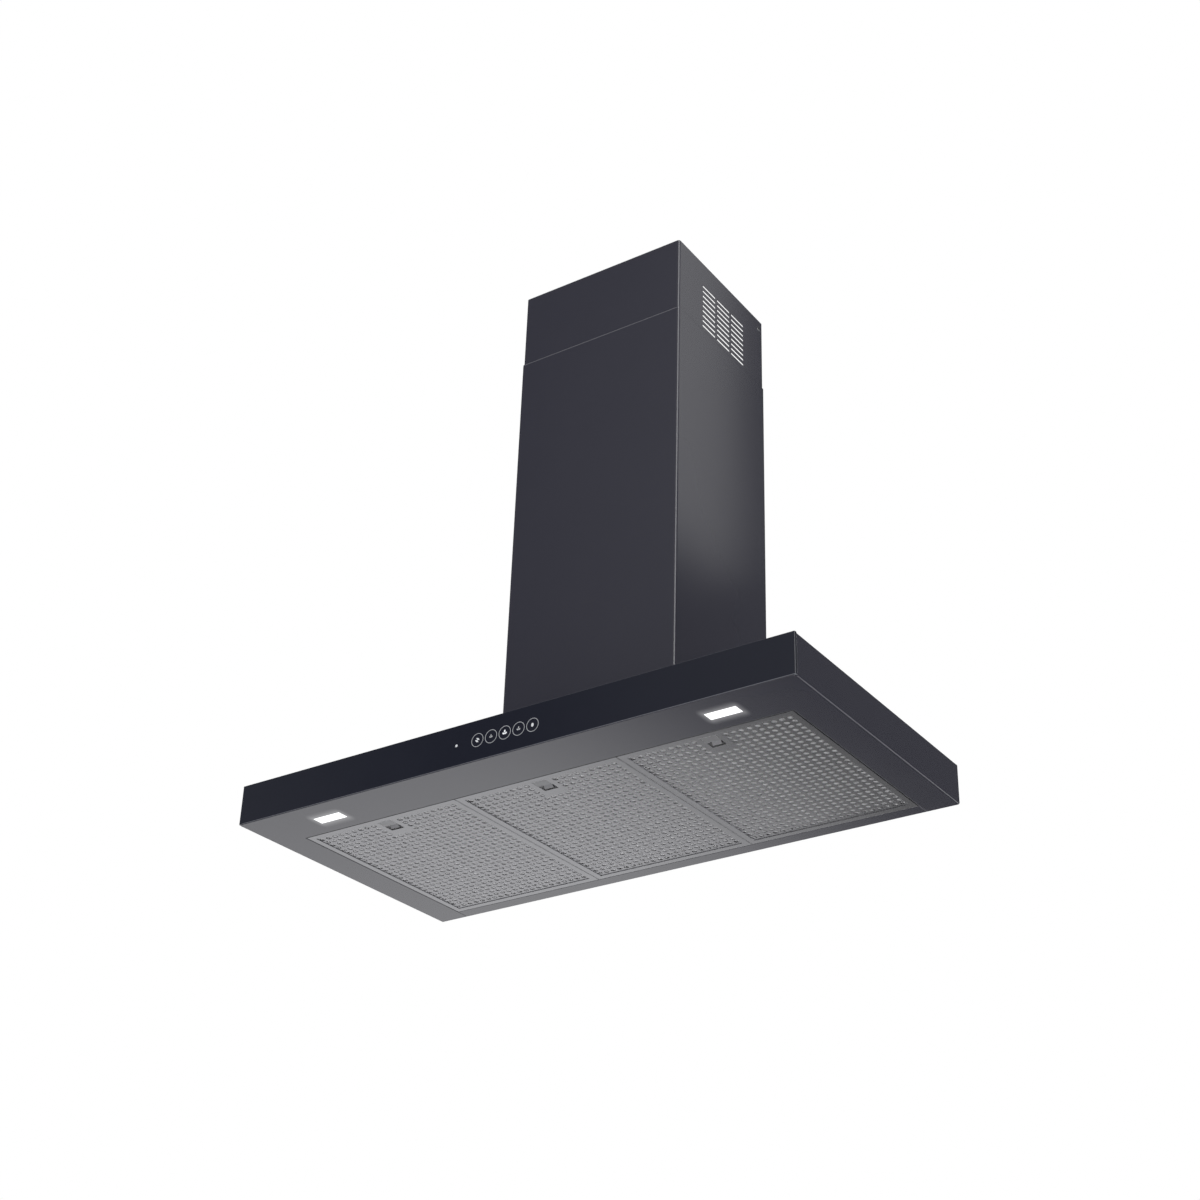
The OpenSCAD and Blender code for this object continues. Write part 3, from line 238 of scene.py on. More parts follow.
# %% [markdown]
# Light that comes through frosted or printed glass and plastic is never quite even. A noise moves its
# colour between white and a cooler white. The lamp lenses and the printed keys both use this, so it
# is a group too, and each gives it its own size of spot and its own cooler colour.
# %% Group: uneven light
uneven_light, inside, outside = start_group(
    "uneven light", [("Spot Scale", FLOAT, 60.0), ("Cooler", COLOUR, (0.92, 0.94, 1.0, 1))],
    [("Light", COLOUR)])
place = add_node(uneven_light, "ShaderNodeTexCoord")
spots = add_node(uneven_light, "ShaderNodeTexNoise", Detail=1.0)
tone = add_node(uneven_light, "ShaderNodeMix", data_type="RGBA")
tone.inputs["B"].default_value = (1.0, 1.0, 1.0, 1)
join(uneven_light, place.outputs["Object"], spots.inputs["Vector"])
join(uneven_light, inside.outputs["Spot Scale"], spots.inputs["Scale"])
join(uneven_light, spots.outputs["Fac"], tone.inputs["Factor"])
join(uneven_light, inside.outputs["Cooler"], tone.inputs["A"])
join(uneven_light, tone.outputs["Result"], outside.inputs["Light"])
print("group:", uneven_light.name, "with", len(uneven_light.nodes), "nodes")

# %% [markdown]
# Most finishes here are one recipe with other values: two close colours mixed by the cloud, a
# lighter colour at the edges that is partly wear and partly a painted highlight, gloss that varies a
# little and a bump from the grain. Writing the recipe once keeps the finishes alike in build and easy
# to compare.
# %% The usual finish
GRAIN_DEPTH = 0.0002


def finish(name, dark, light, edge, rough, bump, cloud=6.0, grain=900.0, stretch=(1, 1, 1),
           width=0.0008, rough_play=0.08, **values):
    material, tree, shader = start_material(name, **values)
    texture = use_group(tree, cloud_grain, Cloud_Scale=cloud, Grain_Scale=grain, Stretch=stretch)
    edges = use_group(tree, edge_finder, Width=width)
    body = add_node(tree, "ShaderNodeMix", data_type="RGBA")
    body.inputs["A"].default_value = (*dark, 1)
    body.inputs["B"].default_value = (*light, 1)
    # Edge colour: partly worn paint, partly a painted highlight along the bends.
    edge_wear_and_highlight = add_node(tree, "ShaderNodeMix", data_type="RGBA")
    edge_wear_and_highlight.inputs["B"].default_value = (*edge, 1)
    gloss = add_node(tree, "ShaderNodeMapRange")
    gloss.inputs["To Min"].default_value = rough - rough_play
    gloss.inputs["To Max"].default_value = rough + rough_play
    relief = add_node(tree, "ShaderNodeBump", Strength=bump, Distance=GRAIN_DEPTH)
    join(tree, texture.outputs["Cloud"], body.inputs["Factor"])
    join(tree, body.outputs["Result"], edge_wear_and_highlight.inputs["A"])
    join(tree, edges.outputs["Edge"], edge_wear_and_highlight.inputs["Factor"])
    join(tree, edge_wear_and_highlight.outputs["Result"], shader.inputs["Base Color"])
    join(tree, texture.outputs["Cloud"], gloss.inputs["Value"])
    join(tree, gloss.outputs["Result"], shader.inputs["Roughness"])
    join(tree, texture.outputs["Grain"], relief.inputs["Height"])
    join(tree, edges.outputs["Soft Normal"], relief.inputs["Normal"])
    join(tree, relief.outputs["Normal"], shader.inputs["Normal"])
    return material


def say(material):
    print("finish:", material.name, "with", len(material.node_tree.nodes), "nodes")

# %% [markdown]
# ## Black sheet
# The canopy, its rear strip and both chimney covers are steel sheet with smooth black powder paint, a
# little blue. It mirrors softly, so a pale room greys it where it is seen at a low angle.
# %% Black sheet
def black_paint(name, bend):
    return finish(name, (0.034, 0.034, 0.0475), (0.038, 0.038, 0.052), (0.07, 0.07, 0.085),
                  rough=0.15, bump=0.008, width=bend, rough_play=0.015, IOR=1.5)


black_sheet = black_paint("black sheet", 0.0015)
say(black_sheet)

# %% [markdown]
# The lower cover's upper edge is cut and painted, and the light catches it as a thin line across
# the front. Its sheet is under a millimetre thick, too thin to show that line, so the front's last
# millimetre and a half is painted paler as well, a painted highlight.
# %% Paint of the lower cover with a painted highlight
EDGE_BELOW = (0.0018, 0.0012)
FRONT_BEHIND = (0.001, 0.002)
cover_sheet = black_paint("cover sheet", 0.0015)
cover_low, cover_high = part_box("lower_chimney_cover")
tree = cover_sheet.node_tree
at = place_on_piece(tree)
upper_edge = fade(tree, at["Z"], cover_high.z - EDGE_BELOW[0], cover_high.z - EDGE_BELOW[1], 0.0, 1.0)
in_front = fade(tree, at["Y"], cover_low.y + FRONT_BEHIND[0], cover_low.y + FRONT_BEHIND[1], 1.0, 0.0)
# Painted highlight along the upper edge of the front.
tint(cover_sheet, calculate(tree, "MULTIPLY", upper_edge, in_front), (0.09, 0.09, 0.108))
say(cover_sheet)

# %% [markdown]
# The lamps are lit, and a soft halo of light lies on the paint round their frosted lenses. A real
# lamp would need many samples for that, so the canopy's paint gets a painted glow, emission that
# stands in for that light, worked out from how far a point of the underside lies past the edge of
# the nearer lens. Taking the absolute value of X covers both lamps.
# %% Canopy paint with a painted glow round the lamps
LENS_HALF = (0.0225, 0.009)
GLOW_REACH = 0.017
GLOW_NARROWER = 1.6
GLOW_FALL = 1.7
UNDERSIDE = (0.0003, 0.0009)
canopy_sheet = black_paint("canopy sheet", 0.0008)
lens_low, lens_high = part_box("right_lamp_lens")
lens_middle = (lens_low + lens_high) / 2
tree = canopy_sheet.node_tree
at = place_on_piece(tree)


def past_edge(tree, value, middle, half):
    from_middle = calculate(tree, "ABSOLUTE", calculate(tree, "SUBTRACT", value, middle))
    return calculate(tree, "MAXIMUM", calculate(tree, "SUBTRACT", from_middle, half), 0.0)


past_x = past_edge(tree, calculate(tree, "ABSOLUTE", at["X"]), lens_middle.x, LENS_HALF[0])
past_y = past_edge(tree, at["Y"], lens_middle.y, LENS_HALF[1])
square_x = calculate(tree, "POWER", calculate(tree, "MULTIPLY", past_x, GLOW_NARROWER), 2.0)
square_y = calculate(tree, "POWER", past_y, 2.0)
away = calculate(tree, "SQRT", calculate(tree, "ADD", square_x, square_y))
painted_glow = calculate(tree, "POWER", fade(tree, away, 0.0, GLOW_REACH, 1.0, 0.0, "LINEAR"), GLOW_FALL)
painted_glow = calculate(tree, "MULTIPLY", painted_glow, fade(tree, at["Z"], *UNDERSIDE, 1.0, 0.0))
lit = add_node(tree, "ShaderNodeMix", data_type="RGBA")
lit.inputs["A"].default_value = (0, 0, 0, 1)
lit.inputs["B"].default_value = (0.2, 0.2, 0.2, 1)
join(tree, painted_glow, lit.inputs["Factor"])
shader = tree.nodes["Principled BSDF"]
# The painted glow goes into the paint's emission.
join(tree, lit.outputs["Result"], shader.inputs["Emission Color"])
shader.inputs["Emission Strength"].default_value = 1.0
say(canopy_sheet)

# %% [markdown]
# ## Glass front
# The front is clear glass printed black behind, so it looks like a deep black body under a very
# smooth surface. A plain black with almost no roughness does that, and the cloud in its gloss reads
# as faint wiping marks. Its lower edge is ground and not printed, and a thin pale line painted along
# it stands for the highlight that edge catches.
# %% Glass front
EDGE_HIGHLIGHT_BAND = (0.0003, 0.0008)
black_glass = finish("black glass", (0.013, 0.0145, 0.023), (0.015, 0.0165, 0.026), (0.05, 0.055, 0.07),
                     rough=0.06, bump=0.0, cloud=14.0, width=0.0006, rough_play=0.03, IOR=1.38)
glass_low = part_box("front_glass")[0].z
tree = black_glass.node_tree
# Painted highlight along the ground lower edge.
edge_highlight = fade(tree, place_on_piece(tree)["Z"], glass_low + EDGE_HIGHLIGHT_BAND[0], glass_low + EDGE_HIGHLIGHT_BAND[1], 1.0, 0.0)
tint(black_glass, edge_highlight, (0.17, 0.175, 0.2))
say(black_glass)

# %% [markdown]
# ## Steel of the filters
# The perforated sheets are satin steel, rolled in one direction. Stretching the grain along Y draws
# the fine rolling marks from front to rear, and on the frames they run along X. The mesh is pale and
# dull, so that it shows through the holes. The latches are a little rougher, with bright edges that
# are partly wear and partly a painted highlight. The wells round them get a paler colour, painted
# light that stands in for the light that hardly gets in.
# %% Filter metals
filter_sheet = finish("filter sheet", (0.24, 0.24, 0.255), (0.27, 0.27, 0.285), (0.27, 0.27, 0.285),
                      rough=0.2, bump=0.06, grain=700.0, stretch=(1, 0.05, 1), width=0.0004,
                      rough_play=0.02, Metallic=0.92)
filter_frame = finish("filter frame", (0.24, 0.24, 0.255), (0.27, 0.27, 0.285), (0.28, 0.28, 0.295),
                      rough=0.2, bump=0.05, grain=500.0, stretch=(0.1, 1, 1), width=0.0005,
                      rough_play=0.02, Metallic=0.92)
filter_mesh = finish("filter mesh", (0.8, 0.8, 0.82), (0.9, 0.9, 0.92), (0.92, 0.92, 0.93),
                     rough=0.4, bump=0.1, grain=1500.0, width=0.0002, Metallic=0.1)
latch_metal = finish("latch", (0.24, 0.24, 0.255), (0.27, 0.27, 0.285), (0.55, 0.55, 0.56),
                     rough=0.3, bump=0.03, grain=800.0, width=0.0004, rough_play=0.02, Metallic=0.8)
# The wells are painted paler: painted light where little real light gets in.
latch_well_painted_light = finish("latch well", (0.6, 0.6, 0.615), (0.66, 0.66, 0.675), (0.7, 0.7, 0.71),
                    rough=0.5, bump=0.05, grain=800.0, width=0.0004, Metallic=0.05)

# %% [markdown]
# Where the frames meet the canopy there is a narrow gap with no light in it. It is too narrow to
# show well, so the outermost millimetre of the frames is darkened too, in front and at both ends of
# the row of filters.
# %% Shadow at the seam
SEAM = (0.0009, 0.0013)
tree = filter_frame.node_tree
field_low, field_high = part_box("right_filter_frame")
at = place_on_piece(tree)
aside = calculate(tree, "ABSOLUTE", at["X"])
side_gap = fade(tree, aside, field_high.x - SEAM[1], field_high.x - SEAM[0], 0.0, 1.0)
front_gap = fade(tree, at["Y"], field_low.y + SEAM[0], field_low.y + SEAM[1], 1.0, 0.0)
tint(filter_frame, calculate(tree, "MAXIMUM", side_gap, front_gap), (0.03, 0.03, 0.035))
for made in (filter_sheet, filter_frame, filter_mesh, latch_metal, latch_well_painted_light):
    say(made)

# %% [markdown]
# ## Plastics and foam
# Moulded plastic has a fine spark-eroded texture and no metal. The scroll and its outlet neck, the
# impeller, the lamp housings, the driver and the capacitor are a pale grey. The collar, the gland,
# the touch board's tray and the control box are nearly black, and the tape behind the glass is foam.
# %% Plastics and foam
dark_plastic = finish("dark plastic", (0.018, 0.018, 0.02), (0.024, 0.024, 0.026), (0.05, 0.05, 0.055),
                      rough=0.55, bump=0.25, grain=1400.0)
pale_plastic = finish("pale plastic", (0.54, 0.54, 0.52), (0.6, 0.6, 0.58), (0.7, 0.7, 0.68),
                      rough=0.5, bump=0.15, grain=1200.0)
tape_foam = finish("tape", (0.012, 0.012, 0.012), (0.02, 0.02, 0.02), (0.03, 0.03, 0.03),
                   rough=0.85, bump=0.5, grain=2500.0)
for made in (dark_plastic, pale_plastic, tape_foam):
    say(made)

# %% [markdown]
# ## Bare metals inside
# Springs and keepers are bright spring steel. The screws, the rivets, the shaft and the damper flaps
# are zinc plated, and the motor and its bracket are cast, with a coarser skin. They differ in gloss
# and grain more than in colour.
# %% Bare metals
spring_steel = finish("spring steel", (0.55, 0.55, 0.56), (0.62, 0.62, 0.63), (0.8, 0.8, 0.8),
                      rough=0.22, bump=0.03, width=0.0002, Metallic=1.0)
plated_steel = finish("plated steel", (0.5, 0.51, 0.52), (0.58, 0.58, 0.57), (0.75, 0.75, 0.75),
                      rough=0.32, bump=0.05, cloud=40.0, width=0.0003, Metallic=1.0)
motor_casting = finish("motor casting", (0.36, 0.36, 0.37), (0.44, 0.44, 0.45), (0.6, 0.6, 0.6),
                       rough=0.5, bump=0.5, cloud=60.0, grain=500.0, Metallic=0.9)
for made in (spring_steel, plated_steel, motor_casting):
    say(made)

# %% [markdown]
# ## Galvanised sheet
# The blower box, the cover's locators and the chimney's brackets are galvanised: the zinc sets in
# flat crystals a centimetre or so across, each with its own grey and gloss. A Voronoi texture gives
# every cell random values for it.
# %% Galvanised sheet
galvanised, tree, shader = start_material("galvanised sheet", Metallic=0.9)
place = add_node(tree, "ShaderNodeTexCoord")
spangle = add_node(tree, "ShaderNodeTexVoronoi", Scale=110.0, Randomness=1.0)
grey = add_node(tree, "ShaderNodeSeparateColor")
shade = add_node(tree, "ShaderNodeMix", data_type="RGBA")
shade.inputs["A"].default_value = (0.4, 0.41, 0.42, 1)
shade.inputs["B"].default_value = (0.52, 0.53, 0.54, 1)
shine = add_node(tree, "ShaderNodeMapRange")
shine.inputs["To Min"].default_value = 0.36
shine.inputs["To Max"].default_value = 0.5
join(tree, place.outputs["Object"], spangle.inputs["Vector"])
join(tree, spangle.outputs["Color"], grey.inputs["Color"])
join(tree, grey.outputs["Red"], shade.inputs["Factor"])
join(tree, shade.outputs["Result"], shader.inputs["Base Color"])
join(tree, grey.outputs["Green"], shine.inputs["Value"])
join(tree, shine.outputs["Result"], shader.inputs["Roughness"])
say(galvanised)

# %% [markdown]
# ## Circuit boards
# A board is green lacquer over copper tracks. The thin mortar of a Brick texture reads as tracks at
# this size and needs no drawing. The pattern lies flat, so it is turned by a quarter to lie on the
# upright touch board.
# %% Circuit board
circuit_board, tree, shader = start_material("circuit board", Roughness=0.35)
place = add_node(tree, "ShaderNodeTexCoord")
tracks = add_node(tree, "ShaderNodeTexBrick", Scale=260.0)
tracks.inputs["Color1"].default_value = (0.012, 0.075, 0.03, 1)
tracks.inputs["Color2"].default_value = (0.016, 0.1, 0.042, 1)
tracks.inputs["Mortar"].default_value = (0.06, 0.2, 0.07, 1)
tracks.inputs["Mortar Size"].default_value = 0.04
turn = add_node(tree, "ShaderNodeMapping")
turn.inputs["Rotation"].default_value = (pi / 2, 0, 0)
join(tree, place.outputs["Object"], turn.inputs["Vector"])
join(tree, turn.outputs["Vector"], tracks.inputs["Vector"])
join(tree, tracks.outputs["Color"], shader.inputs["Base Color"])
say(circuit_board)

# %% [markdown]
# ## Lamp lens
# The lenses are frosted and lit from behind. A lamp inside each would need many samples, so the lens
# itself shines, a little less than white. The light comes out nearly evenly: the spots are wide and
# hardly cooler than white.
# %% Lamp lens
lens, tree, shader = start_material("lens", Base_Color=(0.9, 0.9, 0.88, 1), Roughness=0.45,
                                    Emission_Strength=0.9)
light = use_group(tree, uneven_light, Spot_Scale=60.0, Cooler=(0.92, 0.94, 1.0, 1))
join(tree, light.outputs["Light"], shader.inputs["Emission Color"])
say(lens)

# %% [markdown]
# ## Put the finishes on the solids
# Each solid has one material slot whose name is in the record. The first table says which finish goes
# with which slot, and the loop fails at once if a slot has been forgotten. The canopy, the lower
# cover and the latch wells take a finish of their own instead.
# %% Assign the finishes
finish_of = {
    "black_sheet": black_sheet, "black_glass": black_glass, "tape": tape_foam,
    "circuit_board": circuit_board, "dark_plastic": dark_plastic, "pale_plastic": pale_plastic,
    "lens": lens, "galvanised_sheet": galvanised, "filter_sheet": filter_sheet,
    "filter_frame": filter_frame, "filter_mesh": filter_mesh, "latch": latch_metal,
    "spring_steel": spring_steel, "plated_steel": plated_steel, "motor_casting": motor_casting,
}
finish_of_node = {"canopy_shell": canopy_sheet, "lower_chimney_cover": cover_sheet}
SIDES = ("left", "middle", "right")
for side in SIDES:
    finish_of_node[side + "_latch_pocket"] = latch_well_painted_light
for part in frame["record"]["subparts"]:
    for slot in nodes[part["node"]].material_slots:
        slot.material = finish_of_node.get(part["node"], finish_of[part["material_slot"]])

# %% [markdown]
# ## A place for new pieces
# A finished piece has its object at the origin and its place in its mesh, as the solids do, so one
# helper moves place, turn and size into the mesh. The main helper does that, names the piece, gives
# it its finish and lets it ride on its body. What repeats is modelled once: another helper copies a
# piece, with a mesh of its own, and moves the copy. The last one applies a modifier.
# %% Finish and copy a piece
def select_only(piece):
    clear_selection()
    piece.select_set(True)
    bpy.context.view_layer.objects.active = piece


def apply_place(piece):
    select_only(piece)
    bpy.ops.object.transform_apply(location=True, rotation=True, scale=True)


def finish_piece(piece, name, material, body, stands_for=()):
    apply_place(piece)
    piece.name = name
    piece.data.name = name
    piece.data.materials.clear()
    piece.data.materials.append(material)
    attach(piece, body)
    if stands_for:
        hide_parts(*stands_for)
    print("piece:", name, "with", len(piece.data.polygons), "faces")


def copy_piece(piece, offset):
    select_only(piece)
    bpy.ops.object.duplicate()
    bpy.ops.transform.translate(value=offset)
    return bpy.context.object


def apply_modifier(piece, kind, **values):
    bpy.context.view_layer.objects.active = piece
    added = piece.modifiers.new(kind.lower(), kind)
    for name, value in values.items():
        setattr(added, name, value)
    bpy.ops.object.modifier_apply(modifier=added.name)

# %% [markdown]
# ## Touch keys
# Five rings and a signal dot are lit behind the glass. They could be painted into the glass's
# material, but thin printed shapes are easier to place and stay crisp close up. A ring starts as a
# filled circle turned to face the front. Inset draws its line width, and the middle is deleted. Every
# mark gets the thickness of a print, 0.04 mm.
# %% Helpers for the symbols
glass_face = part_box("front_glass")[0].y
KEY_Z = 0.03075
PRINT = 0.00004


def print_disc(x, z, radius, sides=40, stretch=(1, 1), turn=0.0):
    clear_selection()
    bpy.ops.mesh.primitive_circle_add(vertices=sides, radius=radius, fill_type="NGON",
                                      location=(x, glass_face, z), rotation=(pi / 2, 0, 0))
    disc = bpy.context.object
    bpy.ops.object.mode_set(mode="EDIT")
    bpy.ops.mesh.select_all(action="SELECT")
    bpy.ops.transform.resize(value=(stretch[0], 1, stretch[1]), center_override=(x, glass_face, z))
    bpy.ops.transform.rotate(value=-turn, orient_axis="Y", center_override=(x, glass_face, z))
    bpy.ops.object.mode_set(mode="OBJECT")
    return disc


def cut_middle(disc, line):
    bpy.context.view_layer.objects.active = disc
    bpy.ops.object.mode_set(mode="EDIT")
    bpy.ops.mesh.select_all(action="SELECT")
    bpy.ops.mesh.inset(thickness=line)
    bpy.ops.mesh.delete(type="FACE")
    bpy.ops.object.mode_set(mode="OBJECT")
    return disc


def join_pieces(pieces):
    select_only(pieces[0])
    for piece in pieces[1:]:
        piece.select_set(True)
    bpy.ops.object.join()
    return bpy.context.object


def thicken(piece):
    apply_modifier(piece, "SOLIDIFY", thickness=PRINT, offset=1.0)
    return piece

# %% [markdown]
# The rings are softly lit and the marks in them differ: the third key's fan is bright, the outer
# marks and the dot are clear and the other fans dim. So there are four printed finishes, which differ
# only in how strongly they shine.
# %% Finishes of the symbols
def print_finish(name, strength):
    material, tree, shader = start_material(name, Base_Color=(0.3, 0.31, 0.33, 1), Roughness=0.4,
                                            Emission_Strength=strength)
    light = use_group(tree, uneven_light, Spot_Scale=2500.0, Cooler=(0.75, 0.78, 0.84, 1))
    join(tree, light.outputs["Light"], shader.inputs["Emission Color"])
    return material


print_dim = print_finish("print dim", 0.12)
print_ring = print_finish("print ring", 0.13)
print_clear = print_finish("print clear", 0.42)
print_bright = print_finish("print bright", 0.65)
for made in (print_dim, print_ring, print_clear, print_bright):
    say(made)

# %% [markdown]
# The rings stand in a row at one pitch, so the first is made and copied four times. All five are
# joined into one piece, because they are one print.
# %% Rings
KEY_MIDDLE = 0.0136
KEY_PITCH = 0.0224
KEY_X = [KEY_MIDDLE + step * KEY_PITCH for step in (-2, -1, 0, 1, 2)]
RING_RADIUS = 0.00975
RING_LINE = 0.00075
ring = cut_middle(print_disc(KEY_X[0], KEY_Z, RING_RADIUS), RING_LINE)
rings = [ring] + [copy_piece(ring, (x - KEY_X[0], 0, 0)) for x in KEY_X[1:]]
finish_piece(thicken(join_pieces(rings)), "touch_rings", print_ring, "canopy")

# %% [markdown]
# The fan mark is three round blades about a middle, each a circle that was stretched, turned and
# moved out. The first key has a slanting pair of lozenges, the second a copy of the first. The last
# key has a drop, and the signal dot stands to the left of them all.
# %% Marks
BLADE_TURNS = [radians(turn) for turn in (90, 210, 330)]
BLADE_OUT = 0.62
BLADE_RADIUS = 0.6
BLADE_STRETCH = (1.0, 0.62)
DIM_FANS = (0.0024, 0.0028)
BRIGHT_FAN = 0.0034
LOZENGE = 0.003
LOZENGE_STRETCH = (0.5, 1.2)
LOZENGE_TURN = radians(-55)
PAIR_APART = (0.0016, 0.0028)
DROP = 0.0025
DROP_STRETCH = (0.8, 1.1)
DOT_X = -0.066
DOT = 0.0019


def fan_mark(x, z, size):
    blades = []
    for turn in BLADE_TURNS:
        out = size * BLADE_OUT
        blades.append(print_disc(x + cos(turn) * out, z + sin(turn) * out, size * BLADE_RADIUS, sides=20,
                                 stretch=BLADE_STRETCH, turn=turn))
    return blades


def slanting_pair(x, z):
    lozenge = print_disc(x + PAIR_APART[0] / 2, z + PAIR_APART[1] / 2, LOZENGE, sides=4,
                         stretch=LOZENGE_STRETCH, turn=LOZENGE_TURN)
    return [lozenge, copy_piece(lozenge, (-PAIR_APART[0], 0, -PAIR_APART[1]))]


dim_marks = fan_mark(KEY_X[1], KEY_Z, DIM_FANS[0]) + fan_mark(KEY_X[3], KEY_Z, DIM_FANS[1])
finish_piece(thicken(join_pieces(dim_marks)), "touch_marks_dim", print_dim, "canopy")

drop = print_disc(KEY_X[4], KEY_Z, DROP, sides=24, stretch=DROP_STRETCH)
signal_dot = print_disc(DOT_X, KEY_Z, DOT, sides=24)
clear_marks = slanting_pair(KEY_X[0], KEY_Z) + [drop, signal_dot]
finish_piece(thicken(join_pieces(clear_marks)), "touch_marks_clear", print_clear, "canopy")

bright_marks = fan_mark(KEY_X[2], KEY_Z, BRIGHT_FAN)
finish_piece(thicken(join_pieces(bright_marks)), "touch_marks", print_bright, "canopy")

# %% [markdown]
# ## Grease mesh
# Behind the holes lies expanded aluminium: sheet that was slit and pulled into diamonds, in several
# layers. In CAD one folded sheet stands for them all. Here the lowest layer, the one that shows, gets
# its diamonds. Three helpers come first: one trims a layer to a box, one cuts edges into it where a
# hole will be, and one takes the faces in that hole out, by their place. The kind of selection that
# was used last stays on, so the last two set their own.
# %% Cutting helpers
def cut_to_box(piece, low, high):
    bpy.context.view_layer.objects.active = piece
    bpy.ops.object.mode_set(mode="EDIT")
    for point, normal in (((low[0], 0, 0), (-1, 0, 0)), ((high[0], 0, 0), (1, 0, 0)),
                          ((0, low[1], 0), (0, -1, 0)), ((0, high[1], 0), (0, 1, 0))):
        bpy.ops.mesh.select_all(action="SELECT")
        bpy.ops.mesh.bisect(plane_co=point, plane_no=normal, clear_outer=True)
    bpy.ops.object.mode_set(mode="OBJECT")


def slit(piece, cuts):
    bpy.context.view_layer.objects.active = piece
    bpy.ops.object.mode_set(mode="EDIT")
    bpy.ops.mesh.select_mode(type="VERT")
    for point, normal in cuts:
        bpy.ops.mesh.select_all(action="SELECT")
        bpy.ops.mesh.bisect(plane_co=point, plane_no=normal)
    bpy.ops.object.mode_set(mode="OBJECT")


def take_out(piece, low, high):
    for face in piece.data.polygons:
        middle = face.center
        face.select = low[0] < middle.x < high[0] and low[1] < middle.y < high[1]
    bpy.context.view_layer.objects.active = piece
    bpy.ops.object.mode_set(mode="EDIT")
    bpy.ops.mesh.select_mode(type="FACE")
    bpy.ops.mesh.delete(type="FACE")
    bpy.ops.object.mode_set(mode="OBJECT")

# %% [markdown]
# A grid turned by 45 degrees and stretched from front to rear gives the diamonds. The layers above
# it can't be told apart from below, so one flat foil stands for them and gives the diamonds a pale
# ground. Its width is rounded down to whole steps of 5 mm, which can leave it 2.5 mm short on either
# side, under the frame.
# %% The two layers
DIAMOND_CELLS = 76
DIAMOND_STRETCH = (1.0, 1.25, 1.0)
FOIL_STEP = 0.005


def diamond_layer(low, high, z, cell):
    clear_selection()
    middle = ((low[0] + high[0]) / 2, (low[1] + high[1]) / 2, z)
    bpy.ops.mesh.primitive_grid_add(x_subdivisions=DIAMOND_CELLS, y_subdivisions=DIAMOND_CELLS,
                                    size=DIAMOND_CELLS * cell, location=middle, rotation=(0, 0, pi / 4))
    layer = bpy.context.object
    apply_place(layer)
    bpy.ops.object.mode_set(mode="EDIT")
    bpy.ops.mesh.select_all(action="SELECT")
    bpy.ops.transform.resize(value=DIAMOND_STRETCH, center_override=middle)
    bpy.ops.object.mode_set(mode="OBJECT")
    cut_to_box(layer, low, high)
    return layer


def foil_layer(low, high, z):
    clear_selection()
    width = int((high[0] - low[0]) / FOIL_STEP) * FOIL_STEP
    middle = ((low[0] + high[0]) / 2, (low[1] + high[1]) / 2, z)
    bpy.ops.mesh.primitive_plane_add(size=1, location=middle)
    layer = bpy.context.object
    layer.scale = (width, high[1] - low[1], 1)
    apply_place(layer)
    return layer

# %% [markdown]
# Both layers lose the patch over the latch's pocket, from the filter's front edge to a little behind
# the latch. Then the Wireframe modifier turns the diamonds' edges into strands and Solidify gives the
# foil its thickness. The two are joined into one pad for each filter, which hides the CAD sheet.
# %% Grease mesh
DIAMOND = 0.0046
STRAND = 0.0011
FOIL = 0.0003
BESIDE_LATCH = 0.0008
BEFORE_LATCH = 0.001
BEHIND_LATCH = 0.0115
WIRES_UP = 0.0006
FOIL_DOWN = 0.0004


def grease_mesh(side):
    low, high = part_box(side + "_filter_mesh")
    latch_low, latch_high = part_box(side + "_latch")
    hole_low = (latch_low.x - BESIDE_LATCH, low.y - BEFORE_LATCH)
    hole_high = (latch_high.x + BESIDE_LATCH, latch_high.y + BEHIND_LATCH)
    cuts = [((hole_low[0], 0, 0), (1, 0, 0)), ((hole_high[0], 0, 0), (1, 0, 0)),
            ((0, hole_high[1], 0), (0, 1, 0))]
    wires = diamond_layer(low, high, low.z + WIRES_UP, DIAMOND)
    foil = foil_layer(low, high, high.z - FOIL_DOWN)
    for layer in (wires, foil):
        slit(layer, cuts)
        take_out(layer, hole_low, hole_high)
    apply_modifier(wires, "WIREFRAME", thickness=STRAND, use_even_offset=False)
    apply_modifier(foil, "SOLIDIFY", thickness=FOIL, offset=0.0)
    return join_pieces([wires, foil])


for side in SIDES:
    finish_piece(grease_mesh(side), side + "_grease_mesh", filter_mesh, side + "_filter",
                 [side + "_filter_mesh"])

# %% [markdown]
# ## Latch springs
# A spring behind each latch pushes its bolt forward. In CAD it is cut from flat sheet and can't
# give. The real one is wire bent to and fro, so its path runs straight across and round a half turn
# at each end of a row.
# %% Path of a latch spring
SPRING_TURNS = 4
BEND_STEPS = 8


def spring_path(low, high, wire):
    pitch = (high.y - low.y - 2 * wire) / SPRING_TURNS
    half = (high.x - low.x) / 2 - wire - pitch / 2
    middle = (low + high) / 2
    points = []
    for turn in range(SPRING_TURNS + 1):
        sign = 1 if turn % 2 == 0 else -1
        y = low.y + wire + turn * pitch
        points.append((middle.x - sign * half, y, middle.z))
        points.append((middle.x + sign * half, y, middle.z))
        if turn < SPRING_TURNS:
            for step in range(1, BEND_STEPS):
                angle = -pi / 2 + pi * step / BEND_STEPS
                points.append((middle.x + sign * (half + pitch / 2 * cos(angle)),
                               y + pitch / 2 * (1 + sin(angle)), middle.z))
    return points

# %% [markdown]
# A circle could be extruded along the path step by step, but a curve through the points does it at
# once: its bevel makes it round wire. It is then made a mesh, as every finished piece is.
# %% Wire of a latch spring
WIRE = 0.0003


